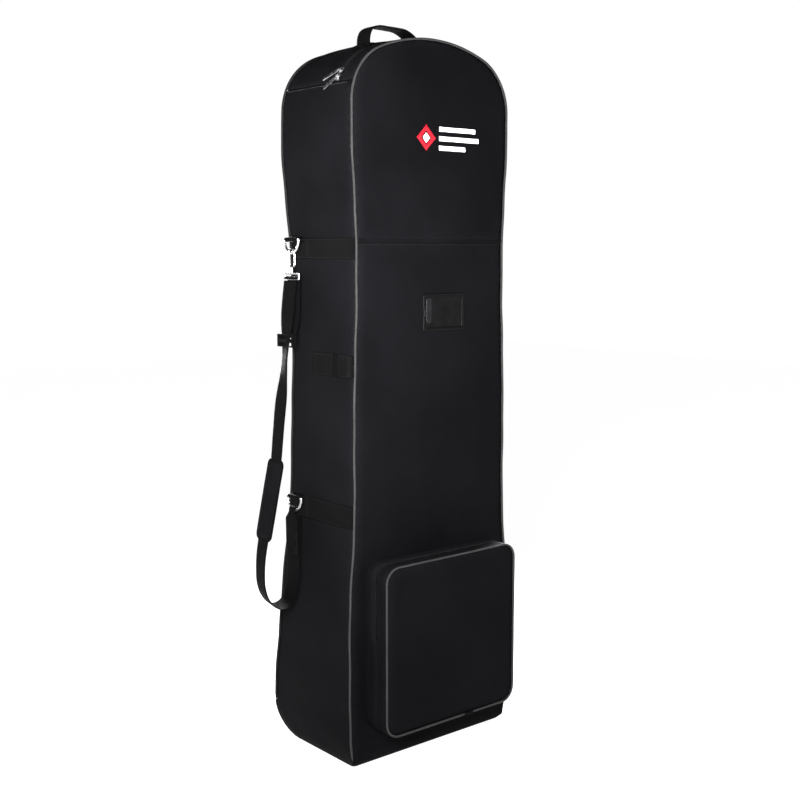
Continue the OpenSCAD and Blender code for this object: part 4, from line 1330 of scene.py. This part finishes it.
# A thumb notch, cut into the left side of the opening
NOTCH_R = 0.0085
rise = opening[:, 1] - (low.z + high.z) / 2
notch = (np.abs(rise) < NOTCH_R) & (opening[:, 0] < low.x + 0.010)
bite = np.sqrt(np.clip(NOTCH_R**2 - rise**2, 0, None))
opening[:, 0] -= np.where(notch, bite * 0.55, 0)
frame_patch = ring_patch("window_border", outer, opening, front_skin, 0.0016, 0.0015)
dress(frame_patch, FRAME_VINYL, "front_flap", ["window_frame"])


def window_place(flat):
    return stand(flat, FRONT)


film_edge = [rounded(WINDOW, 0.0035, 0.003)]
film = patch("window_film", film_edge, window_place, front_skin, FACE, 0.0006, 0.0004, 0.006)
dress(film, VINYL, "front_flap", ["window_vinyl"])
lip_edge = box_edge(low.x + 0.0074, low.x + 0.0190, low.z + 0.0140, high.z - 0.0074)
lip = patch("window_lip", lip_edge, window_place, front_skin, FACE, 0.0009, 0.0003, 0.006)
dress(lip, LIP_VINYL, "front_flap")
stitch_line = rounded(WINDOW, 0.0026, 0.0035)
stitch_line = window_place(np.concatenate([stitch_line, stitch_line[:1]]))
sewn_rows("window_stitches", skin(frame_patch), FACE, [stitch_line], BLACK_THREAD, "front_flap", 0.0001)

# ---- Badge: a lozenge and three bars in satin stitch ----


def satin(name, columns, tree, material, radius=0.00042):
    """Long stitches laid side by side; each column is x, its lower end and its upper end."""
    ends = []
    for x, z0, z1 in columns:
        ends += [(x, FRONT, z0), (x, FRONT, z1)]
    laid = lay_on(tree, ends, FACE, 0.0004)
    pieces = [(laid[i], laid[i + 1], np.array([0.0, -1.0, 0.0])) for i in range(0, len(laid), 2)]
    return dress(threads(name, pieces, radius), material, "front_flap", ["emblem"])


low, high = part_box("emblem")
half = (high.z - low.z) / 2
cx, cz = low.x + half, (low.z + high.z) / 2
red, white = [], []
for x in np.arange(-half + 0.0005, half, 0.00075):
    reach = half - abs(x)
    gap = max(0.0, half * 0.50 - abs(x))
    if gap > 0:
        red += [(cx + x, cz - reach, cz - gap), (cx + x, cz + gap, cz + reach)]
        core = max(0.0, half * 0.40 - abs(x))
        if core > 0.001:
            white.append((cx + x, cz - core, cz + core))
    else:
        red.append((cx + x, cz - reach, cz + reach))
bar_x = cx + half + 0.008
for dz, run in ((0.016, 0.084), (0.0, 0.092), (-0.016, 0.060)):
    for x in np.arange(bar_x, min(bar_x + run, high.x), 0.00075):
        white.append((x, cz + dz - 0.004, cz + dz + 0.004))
satin("emblem_red", red, front_skin, RED_THREAD)
satin("emblem_white", white, front_skin, WHITE_THREAD)

# ---- Carry loop ----

HANDLE_Y = -0.030
HANDLE = [
    (-0.0968, 1.2330), (-0.0975, 1.2420), (-0.0962, 1.2530), (-0.0905, 1.2635), (-0.0780, 1.2697),
    (-0.0560, 1.2708), (-0.0350, 1.2706), (-0.0200, 1.2698), (-0.0080, 1.2660), (0.0040, 1.2590),
    (0.0132, 1.2480),
]


def carry_feet():
    for i, x in enumerate((-0.097, 0.014)):

        def foot_place(flat, x=x):
            return np.c_[x + flat[:, 1], HANDLE_Y + flat[:, 0], np.full(len(flat), CROWN)]

        foot = patch(f"handle_foot_{i + 1}", box_edge(-0.018, 0.018, -0.014, 0.014), foot_place, top_skin,
                     (0, 0, -1), 0.0020, 0.0018)
        dress(foot, WEBBING, "case_body", ["handle_feet"])
        corners = ((-1, -1), (1, -1), (1, 1), (-1, 1), (-1, -1))
        box = [(x + 0.011 * a, HANDLE_Y + 0.015 * b, CROWN) for a, b in corners]
        sewn_rows(f"handle_foot_{i + 1}_stitches", skin(foot), (0, 0, -1), [box], BLACK_THREAD, "case_body",
                  0.0001)


carry_feet()
path = smooth_path([(x, HANDLE_Y, z) for x, z in HANDLE], 0.003)
handle = ribbon("carry_loop_webbing", path, (0, 1, 0), 0.036, 0.0026, 11)
dress(handle, WEBBING, None, ["handle_loop"])
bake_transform(handle)

# ---- Ring tabs ----

for name, z in (("upper", 0.912), ("lower", 0.457)):
    wall = half_width(z) - 0.004
    turn = arc(RING_X, z, 0.0036, 80, 280, 12)
    xz = np.concatenate([
        [(-wall, z + 0.0044), (-0.181, z + 0.0040)], turn, [(-0.181, z - 0.0040), (-wall, z - 0.0044)],
    ])
    xz[:, 0] = np.minimum(xz[:, 0], -wall)
    path = even_path(smooth_path([(x, RING_Y, zz) for x, zz in xz], 0.0015), 0.0015)
    tab = ribbon(f"ring_tab_{name}", path, (0, 1, 0), 0.034, 0.0014, 9)
    dress(tab, WEBBING, "case_body", ["ring_tabs"])

# ---- Inner straps ----

for name, z in (("lower", 0.440), ("upper", 0.780)):
    xs = np.linspace(-0.150, 0.150, 60)
    sag = 0.0722 + 0.0040 * np.cos(xs / 0.150 * math.pi / 2) ** 2 - 0.002
    belt = ribbon(f"inner_strap_{name}", np.c_[xs, sag, np.full(60, z)], (0, 0, 1), 0.036, 0.0020, 7)
    dress(belt, WEBBING, "case_body", ["inner_straps"])
    part = (xs > -0.03) & (xs < 0.09)
    path = np.c_[xs, sag - 0.0022, np.full(60, z)][part]
    dress(ribbon(f"inner_strap_{name}_fastener", path, (0, 0, 1), 0.030, 0.0018, 7), FOAM, "case_body")

# ---- Shoulder strap's own pieces ----

dress(pad, FABRIC, "shoulder_strap", ["shoulder_pad"])
pad_binding = tube("shoulder_pad_binding", pad_edge, 0.0019, 8, (0.98, 0, 0.2))
dress(pad_binding, WEBBING, "shoulder_strap")

wrap = arc(RING_X, EYE_Z, 0.0038, 185, 0, 12)
path = smooth_path(in_plane([*map(tuple, wrap), *RETURN_ROUTE]), 0.003)
strap_back = ribbon("strap_return_webbing", path, (0, 1, 0), STRAP_W, 0.0020, 9)
dress(strap_back, WEBBING, "shoulder_strap", ["strap_return"])

turn = arc(RING_X, WIRE_Z, 0.0056, -88, 178, 24)
xz = np.concatenate([turn, [(-0.1932, 0.425), (-0.1929, 0.400), (-0.1927, 0.375), (-0.1926, 0.352)]])
path = smooth_path(in_plane([tuple(p) for p in xz]), 0.002)
spread_out = np.clip((0.430 - path[:, 2]) / 0.012, 0, 1) * (path[:, 0] < -0.190)
wide = 0.018 + (STRAP_W - 0.018) * spread_out
end_loop = ribbon("strap_end_webbing", path, (0, 1, 0), wide, 0.0016, 9)
dress(end_loop, WEBBING, "shoulder_strap", ["strap_end_loop"])
# A sewn box with a cross in it, beside the loop
a, b, c, d = ((-0.1936, y, z) for y, z in ((0.044, 0.358), (0.076, 0.358), (0.076, 0.396), (0.044, 0.396)))
pieces = [piece for line in ([a, b, c, d, a], [a, c], [b, d]) for piece in row(line, (-1, 0, 0), 0.0038)]
end_stitches = dress(threads("strap_end_stitches", pieces), BLACK_THREAD, "shoulder_strap")

# ---- CAD pieces that keep their shape ----


def finish_node(name, material, bevel=0.0):
    node = NODES[name]
    node.data.materials.clear()
    node.data.materials.append(material)
    if bevel:
        rounding = node.modifiers.new("edges", "BEVEL")
        rounding.width = bevel
        rounding.segments = 2
        rounding.limit_method = "ANGLE"


for name in ("ring_upper", "ring_lower", "snap_hook", "hook_gate", "hook_eye"):
    finish_node(name, METAL)
for name in ("slider_a", "slider_b", "pull_a", "pull_b"):
    finish_node(name, METAL, 0.0003)
    finish_node("pocket_" + name, METAL, 0.0003)
finish_node("strap_glide", PLASTIC, 0.0006)
finish_node("base_board", PLASTIC, 0.0005)

# ---- Floor and light ----


def make_floor():
    bpy.ops.mesh.primitive_plane_add(size=14, location=(0, 0, -0.0004))
    floor = bpy.context.object
    floor.name = "floor"
    look = Look("floor", Roughness=0.9, Base_Color=grey(0.35), Specular_IOR_Level=0.0,
                Emission_Color=grey(1.0), Emission_Strength=0.94)
    floor.data.materials.append(look.material)


def area_light(name, place, aim, size, power, spread):
    data = bpy.data.lights.new(name, "AREA")
    data.shape = "RECTANGLE"
    data.size, data.size_y = size
    data.energy = power
    data.spread = spread
    light = bpy.data.objects.new(name, data)
    light.visible_camera = False
    SCENE.collection.objects.link(light)
    light.location = place
    light.rotation_mode = "QUATERNION"
    light.rotation_quaternion = (Vector(aim) - Vector(place)).to_track_quat("-Z", "Y")


def make_world():
    """A white room whose ceiling is dim, so that the top of the case stays dark."""
    world = bpy.data.worlds.new("studio")
    SCENE.world = world
    world.use_nodes = True
    tree = world.node_tree
    place = tree.nodes.new("ShaderNodeTexCoord")
    split = tree.nodes.new("ShaderNodeSeparateXYZ")
    fall = tree.nodes.new("ShaderNodeMapRange")
    tree.links.new(place.outputs["Generated"], split.inputs[0])
    tree.links.new(split.outputs["Z"], fall.inputs[0])
    for i, value in enumerate((0.20, 0.48, 1.0, 0.02), 1):
        fall.inputs[i].default_value = value
    shade = tree.nodes["Background"]
    shade.inputs["Color"].default_value = (1.0, 1.0, 1.0, 1.0)
    tree.links.new(fall.outputs[0], shade.inputs["Strength"])
    SCENE.view_settings.view_transform = "Standard"


make_floor()
make_world()
area_light("key", (-0.92, -0.82, 0.92), (-0.15, -0.10, 0.88), (0.4, 0.5), 35, 1.9)
area_light("right", (1.15, 0.50, 0.95), (0.17, 0.02, 0.70), (0.4, 0.8), 26, 2.4)
area_light("back", (0.30, 1.25, 0.95), (0.0, 0.10, 0.70), (0.4, 0.8), 26, 2.4)
area_light("side", (-2.2, 1.1, 1.1), (-0.18, 0, 0.7), (0.7, 1.4), 3, math.pi)
